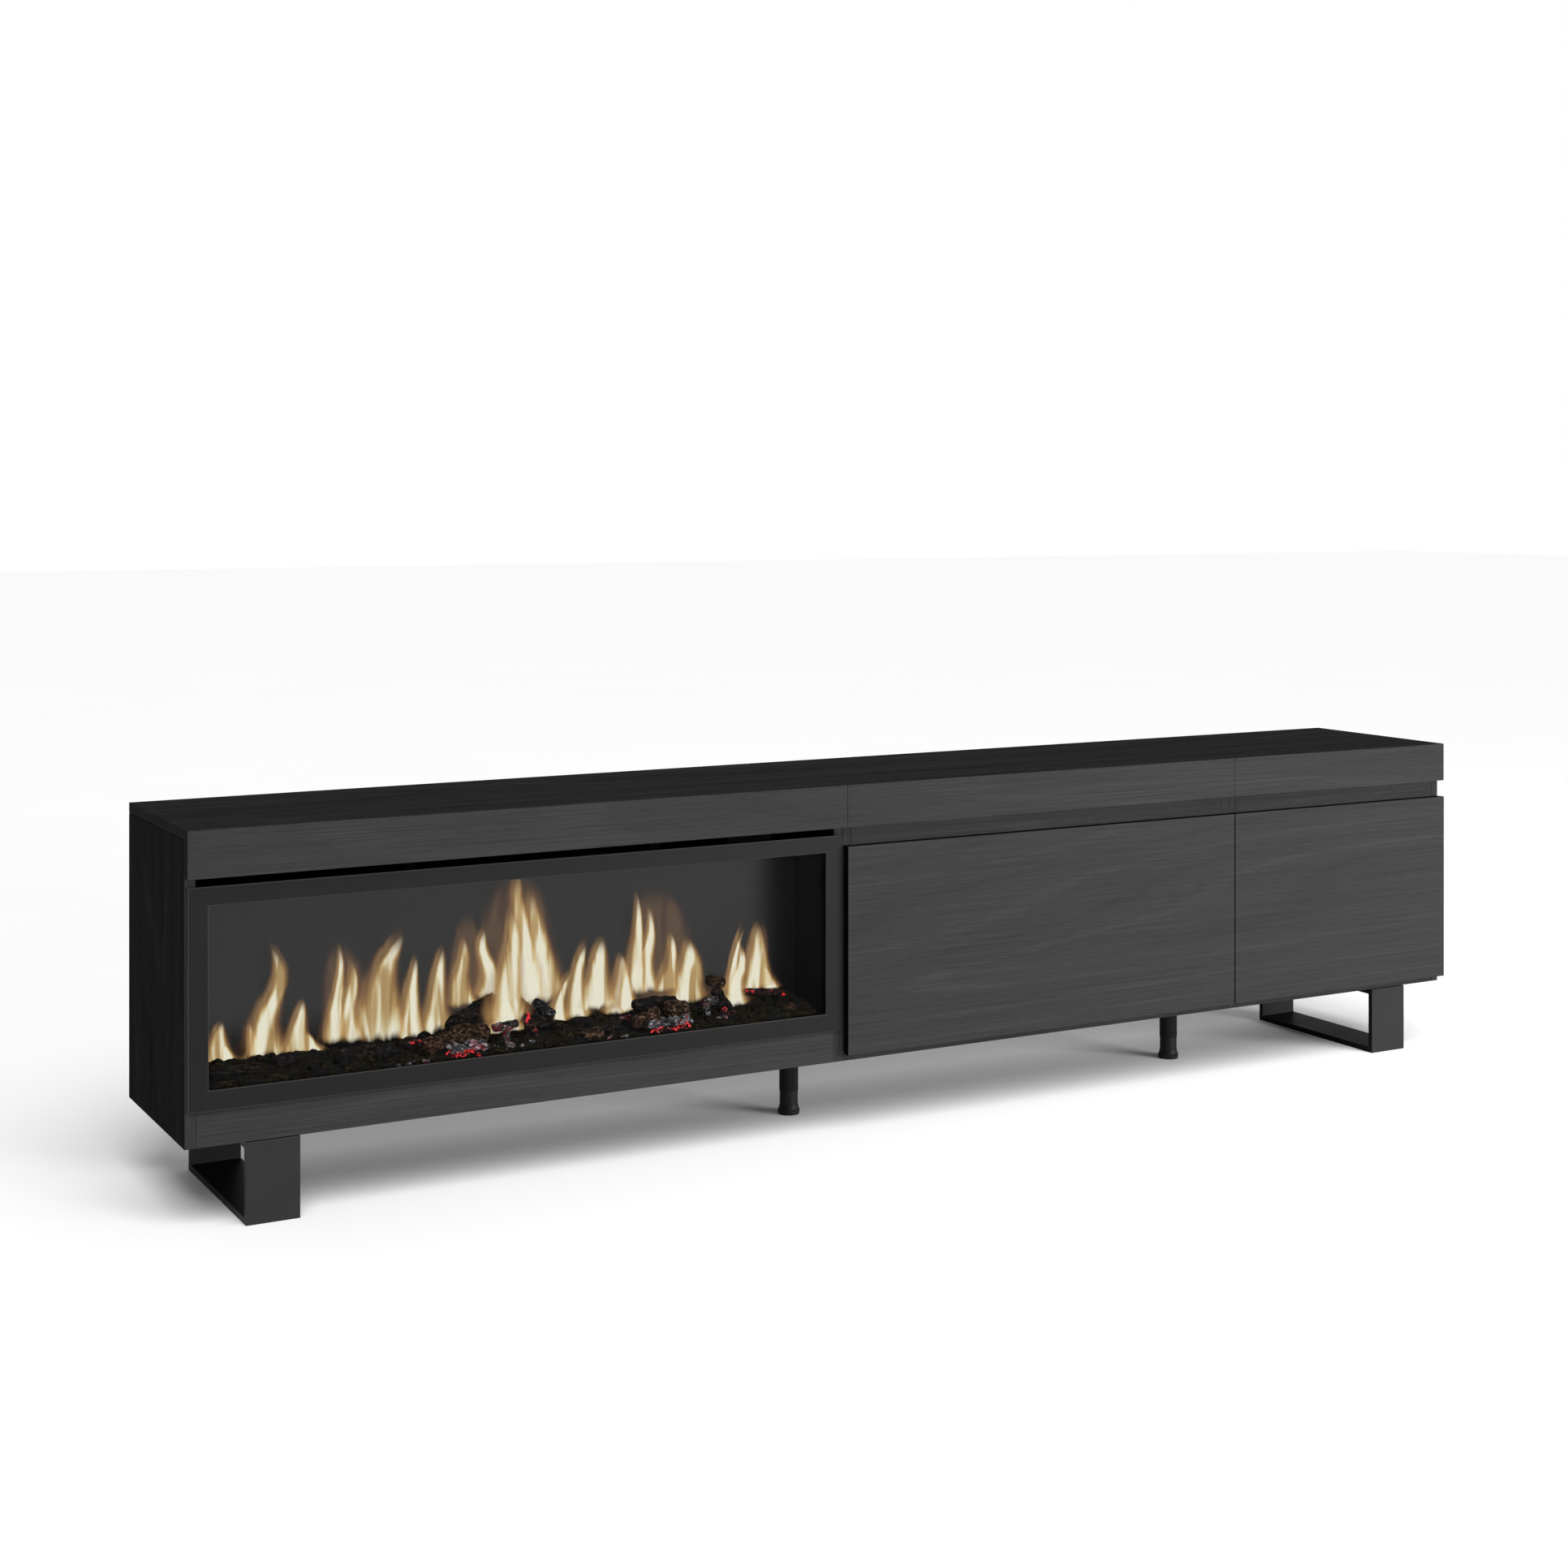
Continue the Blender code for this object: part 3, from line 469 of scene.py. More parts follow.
finishes = {
    # one black stain on all three, with painted light on the fronts and painted shade on the tops, sides
    # and gaps
    "frontWood": blackWood("black wood, fronts", wood["inside"], "x", 0.5, wood["frontGloss"],
                           wood["edge"], 1),
    "topWood": blackWood("black wood, flat boards", wood["inside"], "x", 0.75, 0.0, wood["top"]),
    "sideWood": blackWood("black wood, uprights", wood["side"], "z", 0.75, 0.0, wood["edge"]),
    "back_sheet": hardboard("black hardboard"),
    # the rim numbers are a painted highlight on rounded edges; satin black steel's last number is painted
    # shade on faces away from the front
    "satin_black_metal": paintedMetal("satin black steel", 0.0225, 0.42, 900, 0.05, 1.6, 0.14),
    "round_leg": paintedMetal("round leg enamel", 0.0058, 0.4),
    "black_trim": paintedMetal("satin black trim", 0.0110, 0.45, 1200, 0.06, 3.5),
    "galvanised_sheet": zincSheet("zinc sheet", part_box("firebox_plinth")[0].y),
    "firebox": zincSheet("heat-proof black sheet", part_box("firebox")[1].y),
    "plated_steel": brushedSteel("plated steel", 0.5),
    "front_glass": clearGlass("front glass"),
    "flame_screen": smokedScreen("smoked flame screen"),
    "panel": mouldedPlastic("control panel", 0.0014, 0.6, 0.01),
    # the heater's parts, made near black
    "sooted": paintedMetal("sooted sheet", 0.0012, 0.7, 700, 0.005, 1),
    "light_bar": glowingBar("frosted light bar"),
    "black_plastic": mouldedPlastic("black plastic", 0.0075),
    "button_grey": mouldedPlastic("grey button plastic", 0.12, 0.4),
    "coal": emberBark("coal bed", (0.021, 0.0150, 0.0055), (0.0008, 0.0007, 0.0005), 0.48, 0.0, 0.0),
    "bark": emberBark("log bark", (0.085, 0.052, 0.030), (0.012, 0.008, 0.006), 0.62, 0.2, 0.0),
}
print("finishes mixed")


camera = {
    "place": (-2.0445, -3.4482, 1.0466),
    "turn": -28.88,  # degrees, to the right
    "lens": 53.3,
    "drop": -0.1833,
}
lamps = {
    "sky": 0.37,
    "sun": 2.6,
    "sunHeight": 52,  # these three in degrees
    "sunSide": -6,
    "sunSize": 44,
    "right": 190,
    "rightPlace": (2.7, -3.7, 0.9),
    "rightTarget": (0.8, 0, 0.2),
    "rightSize": (2.4, 1.1),
    "floor": (0.95, 0.97),
}

cameraData = bpy.data.cameras.new("camera")
cameraData.lens, cameraData.shift_y = camera["lens"], camera["drop"]
viewer = bpy.data.objects.new("camera", cameraData)
viewer.location = camera["place"]
viewer.rotation_euler = (math.radians(90), 0, math.radians(camera["turn"]))
bpy.context.scene.collection.objects.link(viewer)
bpy.context.scene.camera = viewer
bpy.context.scene.view_settings.view_transform = "Standard"


def lamp(name, kind, place, target, **settings):
    data = bpy.data.lights.new(name, kind)
    for key, value in settings.items():
        setattr(data, key, value)
    light = bpy.data.objects.new(name, data)
    light.location = place
    light.rotation_euler = (Vector(target) - Vector(place)).to_track_quat("-Z", "Y").to_euler()
    bpy.context.scene.collection.objects.link(light)


climb, aside = math.radians(lamps["sunHeight"]), math.radians(lamps["sunSide"])
sunSpot = (math.sin(aside) * math.cos(climb), -math.cos(aside) * math.cos(climb), math.sin(climb))
lamp("soft sun", "SUN", sunSpot, (0, 0, 0), energy=lamps["sun"], angle=math.radians(lamps["sunSize"]))
lamp("right softbox", "AREA", lamps["rightPlace"], lamps["rightTarget"], energy=lamps["right"],
     shape="RECTANGLE", size=lamps["rightSize"][0], size_y=lamps["rightSize"][1])

# the backdrop shows pure white, and lights the scene more softly
world = bpy.data.worlds.new("studio")
world.use_nodes = True
bpy.context.scene.world = world
air = world.node_tree
air.nodes.clear()
kinds = ("LightPath", "Background", "Background", "MixShader", "OutputWorld")
seen, backdrop, glow, chooser, airOut = (air.nodes.new("ShaderNode" + kind) for kind in kinds)
for shine, strength in ((glow, lamps["sky"]), (backdrop, 1.0)):
    shine.inputs["Color"].default_value = (1, 1, 1, 1)
    shine.inputs["Strength"].default_value = strength
for start, end in ((seen.outputs["Is Camera Ray"], chooser.inputs[0]),
                   (glow.outputs[0], chooser.inputs[1]),
                   (backdrop.outputs[0], chooser.inputs[2]),
                   (chooser.outputs[0], airOut.inputs[0])):
    air.links.new(start, end)

clearSelection()
bpy.ops.mesh.primitive_plane_add(size=60)
floor = added("studio_floor")
floorFinish = Finish("pale floor")
dusting = floorFinish.noise((1.5, 1.5, 1.5), 3)
floor.data.materials.append(floorFinish.surface(
    base_color=floorFinish.blend(dusting, *(grey(level) for level in lamps["floor"])),
    roughness=0.8 + dusting * 0.1,
    specular_ior_level=0.1,
))
print("camera, lamps and floor set")

# every CAD node gets its finish, and the boards and bars a rounded edge
edging = {"boards": 0.0009, "metal": 0.0007, "weld": 0.00005, "angle": 40}
bars = ("trim_frame", "sled_leg_left", "sled_leg_right")
hotParts = ("heater_outlet", "heater_housing", "heating_element", "fan_wheel")
controls = ("control_panel", "button_flame", "button_heat")

for name, node in nodes.items():
    slotName = node.material_slots[0].material.name.split(".")[0]
    board = slotName.startswith("black_wood")
    if board:
        upright = "_side_" in name
        facesFront = name in ("flap", "door") or name.endswith(("_fascia", "_rail"))
        finish = finishes["sideWood" if upright else "frontWood" if facesFront else "topWood"]
    else:
        own = "sooted" if name in hotParts else "panel" if name in controls else name
        own = "round_leg" if name.startswith("round_leg") else own
        finish = finishes[own if own in finishes else slotName]
    node.material_slots[0].material = finish
    if board or name in bars:
        weld = node.modifiers.new("Weld", "WELD")
        weld.merge_threshold = edging["weld"]
        bevel = node.modifiers.new("Bevel", "BEVEL")
        bevel.width = edging["boards" if board else "metal"]
        bevel.segments, bevel.limit_method, bevel.angle_limit = 2, "ANGLE", math.radians(edging["angle"])
print("cabinet boards finished")

front = modelLow.y
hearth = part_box("firebox")[0] + Vector((sheetThick, 0, sheetThick))  # the hollow's lower left corner


def spot(along, back, up):  # millimetres from the left wall, behind the front, above the floor
    return Vector((hearth.x + along / 1000, front + back / 1000, hearth.z + up / 1000))


bed = {
    "ends": (6, 1016),  # millimetres along the hearth
    "depth": (37, 124),  # behind the front
    "frontHeight": 21,
    "backRise": 10,
    "shoulder": (0.012, 0.004),  # how far in from its sides, and how much higher, in metres
    "grain": 0.0045,
    "relief": ((0.035, 0.014, 0.52), (0.008, 0.006, 0.5)),  # size, rise and middle level of its bumps
    "lumps": 190,
    "lumpEnds": (14, 1008),
    "lumpDepth": (44, 120),
    "lumpSize": (5, 12),
    "lumpFlat": (0.6, 1.0),
    "lumpLift": (2, (-3, 3)),  # above the bed, and how much more or less
    "seeds": (11, 3),
}


def emberBed():
    low = spot(bed["ends"][0], bed["depth"][0], 1)
    high = spot(bed["ends"][1], bed["depth"][1], bed["frontHeight"])
    clearSelection()
    bpy.ops.mesh.primitive_cube_add(size=1, location=(low + high) / 2, scale=high - low)
    piece = added("coal_bed")
    pick(piece, lambda centre, normal: normal.z > 0.9)
    bpy.ops.mesh.inset(thickness=bed["shoulder"][0])
    bpy.ops.transform.translate(value=(0, 0, bed["shoulder"][1]))
    pick(piece, lambda point: point.z > 0 and point.y > 0, "VERT")
    bpy.ops.transform.translate(value=(0, 0, bed["backRise"] / 1000))
    clearSelection()
    takeHold(piece)
    bpy.ops.object.transform_apply(location=True, rotation=True, scale=True)
    applied(piece, "REMESH", mode="VOXEL", voxel_size=bed["grain"])
    for size, rise, middle in bed["relief"]:
        applied(piece, "DISPLACE", texture=clouds(size), strength=rise, mid_level=middle)
    return finished(piece, "cabinet", finishes["coal"], ["ember_bed"], 60)


stoneShape = {
    "radius": 0.01,
    "swell": 1.3,
    "faces": 0.55,  # share that is kept
    "long": (0.8, 1.5),
    "tumble": ((-0.5, 0.5), (-0.5, 0.5), (0, 6.28)),  # how far it may be turned about each axis
}


def lump(name, rough, seed):  # one faceted stone, about forty faces
    size = stoneShape["radius"]
    clearSelection()
    bpy.ops.mesh.primitive_ico_sphere_add(subdivisions=2, radius=size, location=(seed, 0, 0))
    piece = added(name)
    bpy.ops.object.transform_apply(location=True)
    applied(piece, "DISPLACE", texture=clouds(size * stoneShape["swell"]), strength=size * rough)
    applied(piece, "DECIMATE", ratio=stoneShape["faces"])
    takeHold(piece)
    bpy.ops.object.origin_set(type="ORIGIN_GEOMETRY", center="BOUNDS")
    return piece


def scatter(name, places, sizes, flat, seed, finish, rough=0.9):  # sizes are radii in millimetres
    chance = random.Random(seed)
    kinds = [lump(name + "_stone", rough, 0.1 * (kind + seed)) for kind in range(3)]
    stones = []
    for place in places:
        stone = copyOf(chance.choice(kinds), name + "_copy")
        stone.location = place
        stone.rotation_euler = [chance.uniform(*arc) for arc in stoneShape["tumble"]]
        reach = chance.uniform(*sizes) / 10
        long = chance.uniform(*stoneShape["long"])
        stone.scale = (reach * long, reach, reach * chance.uniform(*flat))
        stones.append(stone)
    for kind in kinds:
        bpy.data.objects.remove(kind)
    return finished(joined(stones, name), "cabinet", finish, (), 25)


def bedTop(back):
    share = (back - bed["depth"][0]) / (bed["depth"][1] - bed["depth"][0])
    return bed["frontHeight"] + bed["lumpLift"][0] + share * bed["backRise"]


def overBed(count, ends, depth, seed):
    chance = random.Random(seed)
    for _ in range(count):
        back = chance.uniform(*depth)
        yield spot(chance.uniform(*ends), back, bedTop(back) + chance.uniform(*bed["lumpLift"][1]))


emberBed()
lumpPlaces = overBed(bed["lumps"], bed["lumpEnds"], bed["lumpDepth"], bed["seeds"][0])
scatter("coal_lumps", lumpPlaces, bed["lumpSize"], bed["lumpFlat"], bed["seeds"][1], finishes["coal"])
print("coal bed laid")

bark = {
    "brown": emberBark("brown bark", (0.082, 0.043, 0.024), (0.004, 0.0025, 0.0018), 0.58, 0.06, 0.0),
    "charred": emberBark("charred log", (0.024, 0.017, 0.013), (0.0012, 0.0010, 0.0009), 0.48, 0.06, 0.0),
    "ashen": emberBark("ashen log", (0.060, 0.056, 0.055), (0.005, 0.005, 0.005), 0.60, 0.45, 0.1),
    "sooty": emberBark("sooty log", (0.030, 0.027, 0.026), (0.003, 0.003, 0.003), 0.60, 0.25, 0.0),
    "glowing": emberBark("glowing log", (0.030, 0.014, 0.012), (0.004, 0.0015, 0.0015), 0.50, 0.12, 1.0,
                         0.56),
}
finishes["ash"] = emberBark("ash flakes", (0.17, 0.17, 0.185), (0.02, 0.02, 0.022), 0.66, 0.7, 0.2)
finishes["ember"] = emberBark("live embers", (0.08, 0.03, 0.03), (0.010, 0.003, 0.003), 0.70, 0.2, 1.3)

# name, from, to (along, back, up), radius, bow, bark, the CAD log it stands for, in millimetres
logs = [
    ("log_large_bark", (392, 86, 48), (478, 98, 86), 14, 2, "charred", "log_large"),
    ("log_split", (386, 66, 46), (450, 62, 42), 15, 2, "brown", None),
    ("log_front_left_bark", (340, 52, 32), (398, 57, 41), 13, 3, "brown", "log_front_left"),
    ("log_cross_bark", (450, 48, 52), (494, 54, 54), 7, -3, "ashen", "log_cross"),
    ("log_cross_post", (474, 46, 12), (475, 50, 52), 6.5, 1, "ashen", None),
    ("log_leaning_bark", (530, 64, 20), (512, 77, 62), 9, 3, "glowing", "log_leaning"),
    ("branch_curved", (504, 96, 84), (535, 86, 57), 7.5, 9, "brown", None),
    ("log_upper_right", (541, 106, 74), (573, 98, 46), 10, 3, "sooty", None),
    ("log_lying", (528, 86, 41), (572, 92, 38), 8, 2, "charred", None),
    ("log_small_coal", (600, 84, 39), (609, 84, 41), 5.5, 0, "charred", None),
    ("log_right_bark", (596, 44, 22), (633, 46, 27), 9, 2, "brown", "log_right"),
    ("log_behind_left", (420, 96, 46), (372, 80, 34), 11, -3, "charred", None),
    ("log_knobbly", (686, 52, 29), (738, 58, 43), 13, -3, "brown", None),
    ("log_second_split", (752, 66, 44), (792, 62, 42), 15, 2, "brown", None),
    ("log_dark_behind", (706, 92, 50), (784, 92, 49), 11, 2, "charred", None),
    ("log_second_cross", (813, 52, 53), (842, 58, 53), 7, -2, "ashen", None),
    ("log_second_post", (820, 46, 12), (820, 52, 50), 6, 1, "ashen", None),
    ("log_second_leaning", (873, 66, 20), (848, 80, 66), 10, 3, "charred", None),
    ("log_glowing_bar", (875, 62, 17), (862, 72, 40), 5.5, 2, "glowing", None),
    ("log_knot", (844, 101, 77), (876, 99, 69), 9, 3, "brown", None),
    ("log_right_back", (902, 94, 52), (985, 92, 43), 6, 2, "glowing", None),
    ("log_right_front", (944, 54, 20), (990, 60, 24), 9, 2, "brown", None),
    ("log_sawn_left", (118, 66, 33), (152, 58, 41), 11, 1, "charred", None),
    ("log_far_left", (20, 62, 26), (95, 66, 30), 9, 4, "charred", None),
    ("log_left_long", (205, 70, 32), (300, 62, 34), 10, 4, "charred", None),
    ("log_middle_low", (640, 62, 24), (690, 78, 32), 9, -3, "charred", None),
]
logShape = {  # shares of the radius, below the first two
    "sides": 12,
    "rings": 7,
    "wobble": 0.14,
    "tips": 0.86,
    "broken": (0.22, 0.18),  # inset and depth of the rough end
    "bark": 0.34,
    "relief": ((1.1, 1.4), (0.35, 0.8)),  # size and strength of its bumps
}


def barkLog(name, start, end, radius, bow, kind, stands, seed):
    chance = random.Random(seed)
    start, end = spot(*start), spot(*end)
    radius, bow, rings = radius / 1000, bow / 1000, logShape["rings"]
    stride = (end - start).length / rings
    clearSelection()
    bpy.ops.mesh.primitive_circle_add(vertices=logShape["sides"], radius=radius * logShape["tips"],
                                      fill_type="NGON")
    piece = added(name)
    bpy.ops.object.mode_set(mode="EDIT")
    bpy.ops.mesh.select_all(action="SELECT")
    shift, size = 0, logShape["tips"]
    for ring in range(1, rings + 1):
        sway = math.sin(math.pi * ring / rings) * bow - shift
        shift += sway
        bpy.ops.mesh.extrude_region_move(TRANSFORM_OT_translate={"value": (sway, 0, stride)})
        new = 1 + chance.uniform(-1, 1) * logShape["wobble"] if ring < rings else logShape["tips"]
        grown = new / size
        bpy.ops.transform.resize(value=(grown, grown, 1), center_override=(shift, 0, stride * ring))
        size = new
    inward, sunk = logShape["broken"]
    bpy.ops.mesh.inset(thickness=radius * inward)
    bpy.ops.transform.translate(value=(0, 0, -radius * sunk))
    bpy.ops.object.mode_set(mode="OBJECT")
    applied(piece, "SUBSURF", levels=2, render_levels=2)
    piece.rotation_euler = (end - start).to_track_quat("Z", "Y").to_euler()
    piece.location = start
    takeHold(piece)
    bpy.ops.object.transform_apply(location=True, rotation=True, scale=True)
    rough = radius * logShape["bark"]
    for bumps, share in logShape["relief"]:
        applied(piece, "DISPLACE", texture=clouds(radius * bumps), strength=rough * share)
    return finished(piece, "cabinet", bark[kind], [stands] if stands else (), 50)


for number, entry in enumerate(logs):
    barkLog(*entry, number)
print("logs built:", len(logs))

heaps = [  # name, finish, middle (along, back, up), spread, count, sizes, in millimetres
    ("ash_heap_left", "ash", (406, 45, 29), (32, 4, 4), 30, (4, 9)),
    ("embers_left", "ember", (400, 39, 22), (26, 3, 3), 22, (3, 6)),
    ("ash_heap_middle", "ash", (484, 46, 20), (38, 6, 6), 22, (3, 6)),
    ("embers_behind_left", "ember", (342, 74, 37), (12, 6, 3), 9, (3, 5)),
    ("ash_heap_right", "ash", (748, 45, 29), (38, 4, 4), 30, (4, 9)),
    ("embers_right", "ember", (748, 39, 22), (34, 3, 3), 24, (3, 6)),
    ("embers_middle", "ember", (684, 74, 38), (10, 6, 3), 8, (3, 5)),
    ("ash_heap_far_right", "ash", (834, 48, 20), (34, 6, 6), 18, (3, 6)),
    ("embers_far_right", "ember", (862, 60, 28), (8, 5, 8), 9, (3, 5)),
    ("ash_crumbs_left", "ash", (300, 36, 18), (50, 3, 2), 5, (3, 5)),
    ("ash_crumbs_right", "ash", (660, 36, 18), (30, 2, 1), 3, (3, 4)),
]


heapStone = {"flat": (0.35, 0.8), "rough": 1.2, "seed": 20}


def heapPlaces(middle, spread, count, seed):
    chance = random.Random(seed)
    for _ in range(count):
        yield spot(*(centre + chance.uniform(-reach, reach) for centre, reach in zip(middle, spread)))


for number, (name, kind, middle, spread, count, stones) in enumerate(heaps):
    places = heapPlaces(middle, spread, count, number)
    scatter(name, places, stones, heapStone["flat"], number + heapStone["seed"], finishes[kind],
            heapStone["rough"])
print("ash and embers scattered")


flame = {
    "rows": 10,
    "spare": 1.85,  # how much wider the sheet is than its flame
    "taper": 0.62,
    "flare": 0.55,
    "flutter": (1.5, 2.2),  # millimetres to and fro, and waves
    "hazeShape": (0.16, 0.80, 0.6),  # start and length on a sine, and its power
    "hazeWide": 1.35,
    "haloWide": 1.35,
    "haloTall": 1.07,
    "haloBack": 9,  # millimetres behind its flame
    "deepest": 121,
}


def flameFinish(name, edge, core, sway, density, vein, tints):
    # thin glowing gas: brightest along its middle, feathered at its sides, foot and tip
    finish = Finish(name)
    sheet = finish.node("UVMap", {"uv_map": "flame"}, {})
    across, rise = finish.parts(sheet, "XY")
    licks = finish.noise((62, 30, 13), 2, 0.45, 0.6)
    wisps = finish.noise((60, 30, 8), 1, 0.4, 0.5, (5, 5, 5))
    off = (across * 2 - 1) + (licks - 0.5) * sway
    inward = 1 - (off * off) ** 0.5 - rise * rise * 0.12
    heat = finish.step(inward, edge, edge + core)
    foot, tip = finish.step(rise + (licks - 0.5) * 0.2, 0.0, 0.10), 1 - finish.step(rise, 0.76, 1.0)
    seam = 1 - finish.step(wisps, 0.48, 0.66) * vein
    stops = [(share, (*tint, 1)) for share, tint in zip((0.0, 0.34, 0.62, 0.84, 1.0), tints)]
    tone = finish.node("ValToRGB", {"stops": stops}, {"Fac": heat * seam})
    return finish.surface(
        base_color=grey(0.001),
        roughness=0.9 + wisps * 0.05,
        specular_ior_level=0.0,
        emission_color=tone,
        emission_strength=1.0,
        alpha=heat * seam * foot * tip * density,
    )


flameTints = {  # from the cool edge to the hot middle
    "flame": ((0.38, 0.16, 0.045), (0.50, 0.29, 0.090), (0.65, 0.48, 0.22), (0.76, 0.68, 0.45),
              (0.81, 0.78, 0.62)),
    "haze": ((0.16, 0.085, 0.055), (0.16, 0.09, 0.058), (0.17, 0.095, 0.06), (0.19, 0.11, 0.07),
             (0.19, 0.12, 0.07)),
    "halo": ((0.20, 0.10, 0.045), (0.24, 0.12, 0.055), (0.30, 0.16, 0.07), (0.34, 0.20, 0.09),
             (0.38, 0.24, 0.11)),
}
finishes["flame"] = flameFinish("flame", 0.05, 0.66, 0.70, 0.97, 0.46, flameTints["flame"])
finishes["haze"] = flameFinish("flame haze", 0.03, 0.36, 0.25, 0.46, 0.30, flameTints["haze"])
finishes["halo"] = flameFinish("flame edge", 0.02, 0.55, 0.45, 0.62, 0.25, flameTints["halo"])

# along, back, foot, height, width, lean of the tip, bow at the middle, S-sway, in millimetres
tongues = [
    (45, 112, 29, 62, 22, 6, -1, 1),
    (61, 108, 30, 30, 14, -7, 0, 0),
    (97, 112, 27, 58, 13, -3, 4, 2),
    (127, 108, 28, 167, 25, -3, 1, -15),
    (165, 106, 32, 80, 20, 7, -2, -1),
    (189, 104, 32, 33, 16, -12, 0, 0),
    (227, 116, 38, 148, 15, 4, 1, -4),
    (253, 112, 37, 127, 19, -4, -4, -5),
    (298, 108, 36, 162, 40, 32, -21, 1),
    (345, 112, 33, 125, 19, 8, -5, -1),
    (385, 112, 37, 133, 22, 11, -3, 0),
    (433, 112, 72, 109, 20, -4, -6, -5),
    (465, 106, 84, 108, 21, -3, 3, 7),
    (482, 66, 38, 60, 32, -5, 0, 0),
    (488, 70, 50, 176, 30, 2, 1, -5),
    (527, 104, 62, 214, 30, -10, 4, 6),
    (552, 112, 66, 176, 30, -9, 9, 5),
    (592, 112, 31, 80, 16, 17, -9, -1),
    (624, 112, 32, 125, 20, 13, -10, 1),
    (654, 106, 46, 113, 31, 8, -3, 0),
    (695, 112, 34, 97, 26, 2, 3, -1),
    (700, 100, 40, 83, 18, -6, 2, 0),
    (726, 112, 60, 164, 17, 0, 0, -2),
    (749, 116, 62, 137, 18, -2, -1, -6),
    (776, 112, 60, 95, 19, 10, 5, -1),
    (807, 104, 40, 105, 34, 5, 5, -2),
    (888, 88, 51, 110, 10, 19, -7, 0),
    (894, 84, 30, 103, 22, 2, 1, -6),
    (943, 112, 44, 112, 27, 5, 1, 1),
    (968, 112, 45, 45, 19, -13, 0, 0),
]
hazes = [
    (244, 124, 36, 158, 82, -10, 4, 0),
    (436, 124, 62, 160, 62, 4, -4, 0),
    (508, 124, 52, 226, 150, 10, 6, 0),
    (780, 124, 40, 196, 130, -20, 4, 0),
    (950, 124, 44, 120, 50, 4, 0, 0),
]


def gasSheet(name, along, back, foot, tall, wide, lean, bow, sway, finish):
    # a strip grown upwards row by row, then rounded
    rows, spare = flame["rows"], flame["spare"]
    wide = wide * {"haze": flame["hazeWide"], "halo": flame["haloWide"] * spare}.get(finish, spare)

    def middle(row):
        share = row / rows
        side = lean * share + 4 * bow * share * (1 - share) + sway * math.sin(2 * math.pi * share)
        reach, waves = flame["flutter"]
        return spot(along + side, back + reach * math.sin(waves * share + along), foot + tall * share)

    def breadth(row):
        share = row / rows
        if finish == "haze":
            start, length, power = flame["hazeShape"]
            return wide / 1000 * math.sin(math.pi * (start + length * share)) ** power
        narrowed = wide / 1000 * (1 - share * 0.96) ** flame["taper"]
        return narrowed * (1 + flame["flare"] * (1 - share) ** 5)

    clearSelection()
    base = (middle(0) + middle(1)) / 2
    bpy.ops.mesh.primitive_plane_add(size=1, location=base, rotation=(math.pi / 2, 0, 0))
    piece = added(name)
    piece.scale = (breadth(0), (middle(1) - middle(0)).z, 1)
    bpy.ops.object.transform_apply(location=True, rotation=True, scale=True)
    pick(piece, lambda first, second: min(first.z, second.z) > base.z, "EDGE")
    bpy.ops.transform.translate(value=(middle(1).x - base.x, 0, 0))
    for row in range(2, rows + 1):
        bpy.ops.mesh.extrude_region_move(TRANSFORM_OT_translate={"value": middle(row) - middle(row - 1)})
        share = breadth(row) / breadth(row - 1)
        bpy.ops.transform.resize(value=(share, 1, 1), center_override=middle(row))
    bpy.ops.object.mode_set(mode="OBJECT")
    sheet = piece.data.uv_layers.new(name="flame")
    heights = sorted({round(point.co.z, 5) for point in piece.data.vertices})
    for face in piece.data.polygons:
        for corner in face.loop_indices:
            point = piece.data.vertices[piece.data.loops[corner].vertex_index].co
            row = heights.index(round(point.z, 5))
            sheet.data[corner].uv = (float(point.x > middle(row).x), row / rows)
    applied(piece, "SUBSURF", levels=3, render_levels=3)
    return finished(piece, "cabinet", finishes[finish], (), 0)


for number, entry in enumerate(hazes, 1):
    gasSheet(f"flame_haze_{number}", *entry, "haze")
for number, (along, back, foot, tall, *shape) in enumerate(tongues, 1):
    gasSheet(f"flame_tongue_{number:02d}", along, back, foot, tall, *shape, "flame")
    behind = min(back + flame["haloBack"], flame["deepest"])
    gasSheet(f"flame_halo_{number:02d}", along, behind, foot, tall * flame["haloTall"], *shape, "halo")
print("flames standing:", 2 * len(tongues) + len(hazes))


# screws, plates and small fittings
screwHead = {  # shares of the radius, below the first two
    "radius": 0.0034,
    "sides": 16,
    "thick": 0.5,
    "middle": 0.2,
    "shoulder": (0.16, 0.14),  # inset and rise
    "crown": (0.24, 0.06),
    "dome": (0.5, 0.7),  # what is higher than this and nearer to the middle
    "pinch": 0.34,  # width left to the arms of the cross
    "deep": 0.3,
}
turns = {  # what turns the screw's head from up to another way
    "back": (-math.pi / 2, 0, 0),
    "left": (0, -math.pi / 2, 0),
    "down": (math.pi, 0, 0),
}


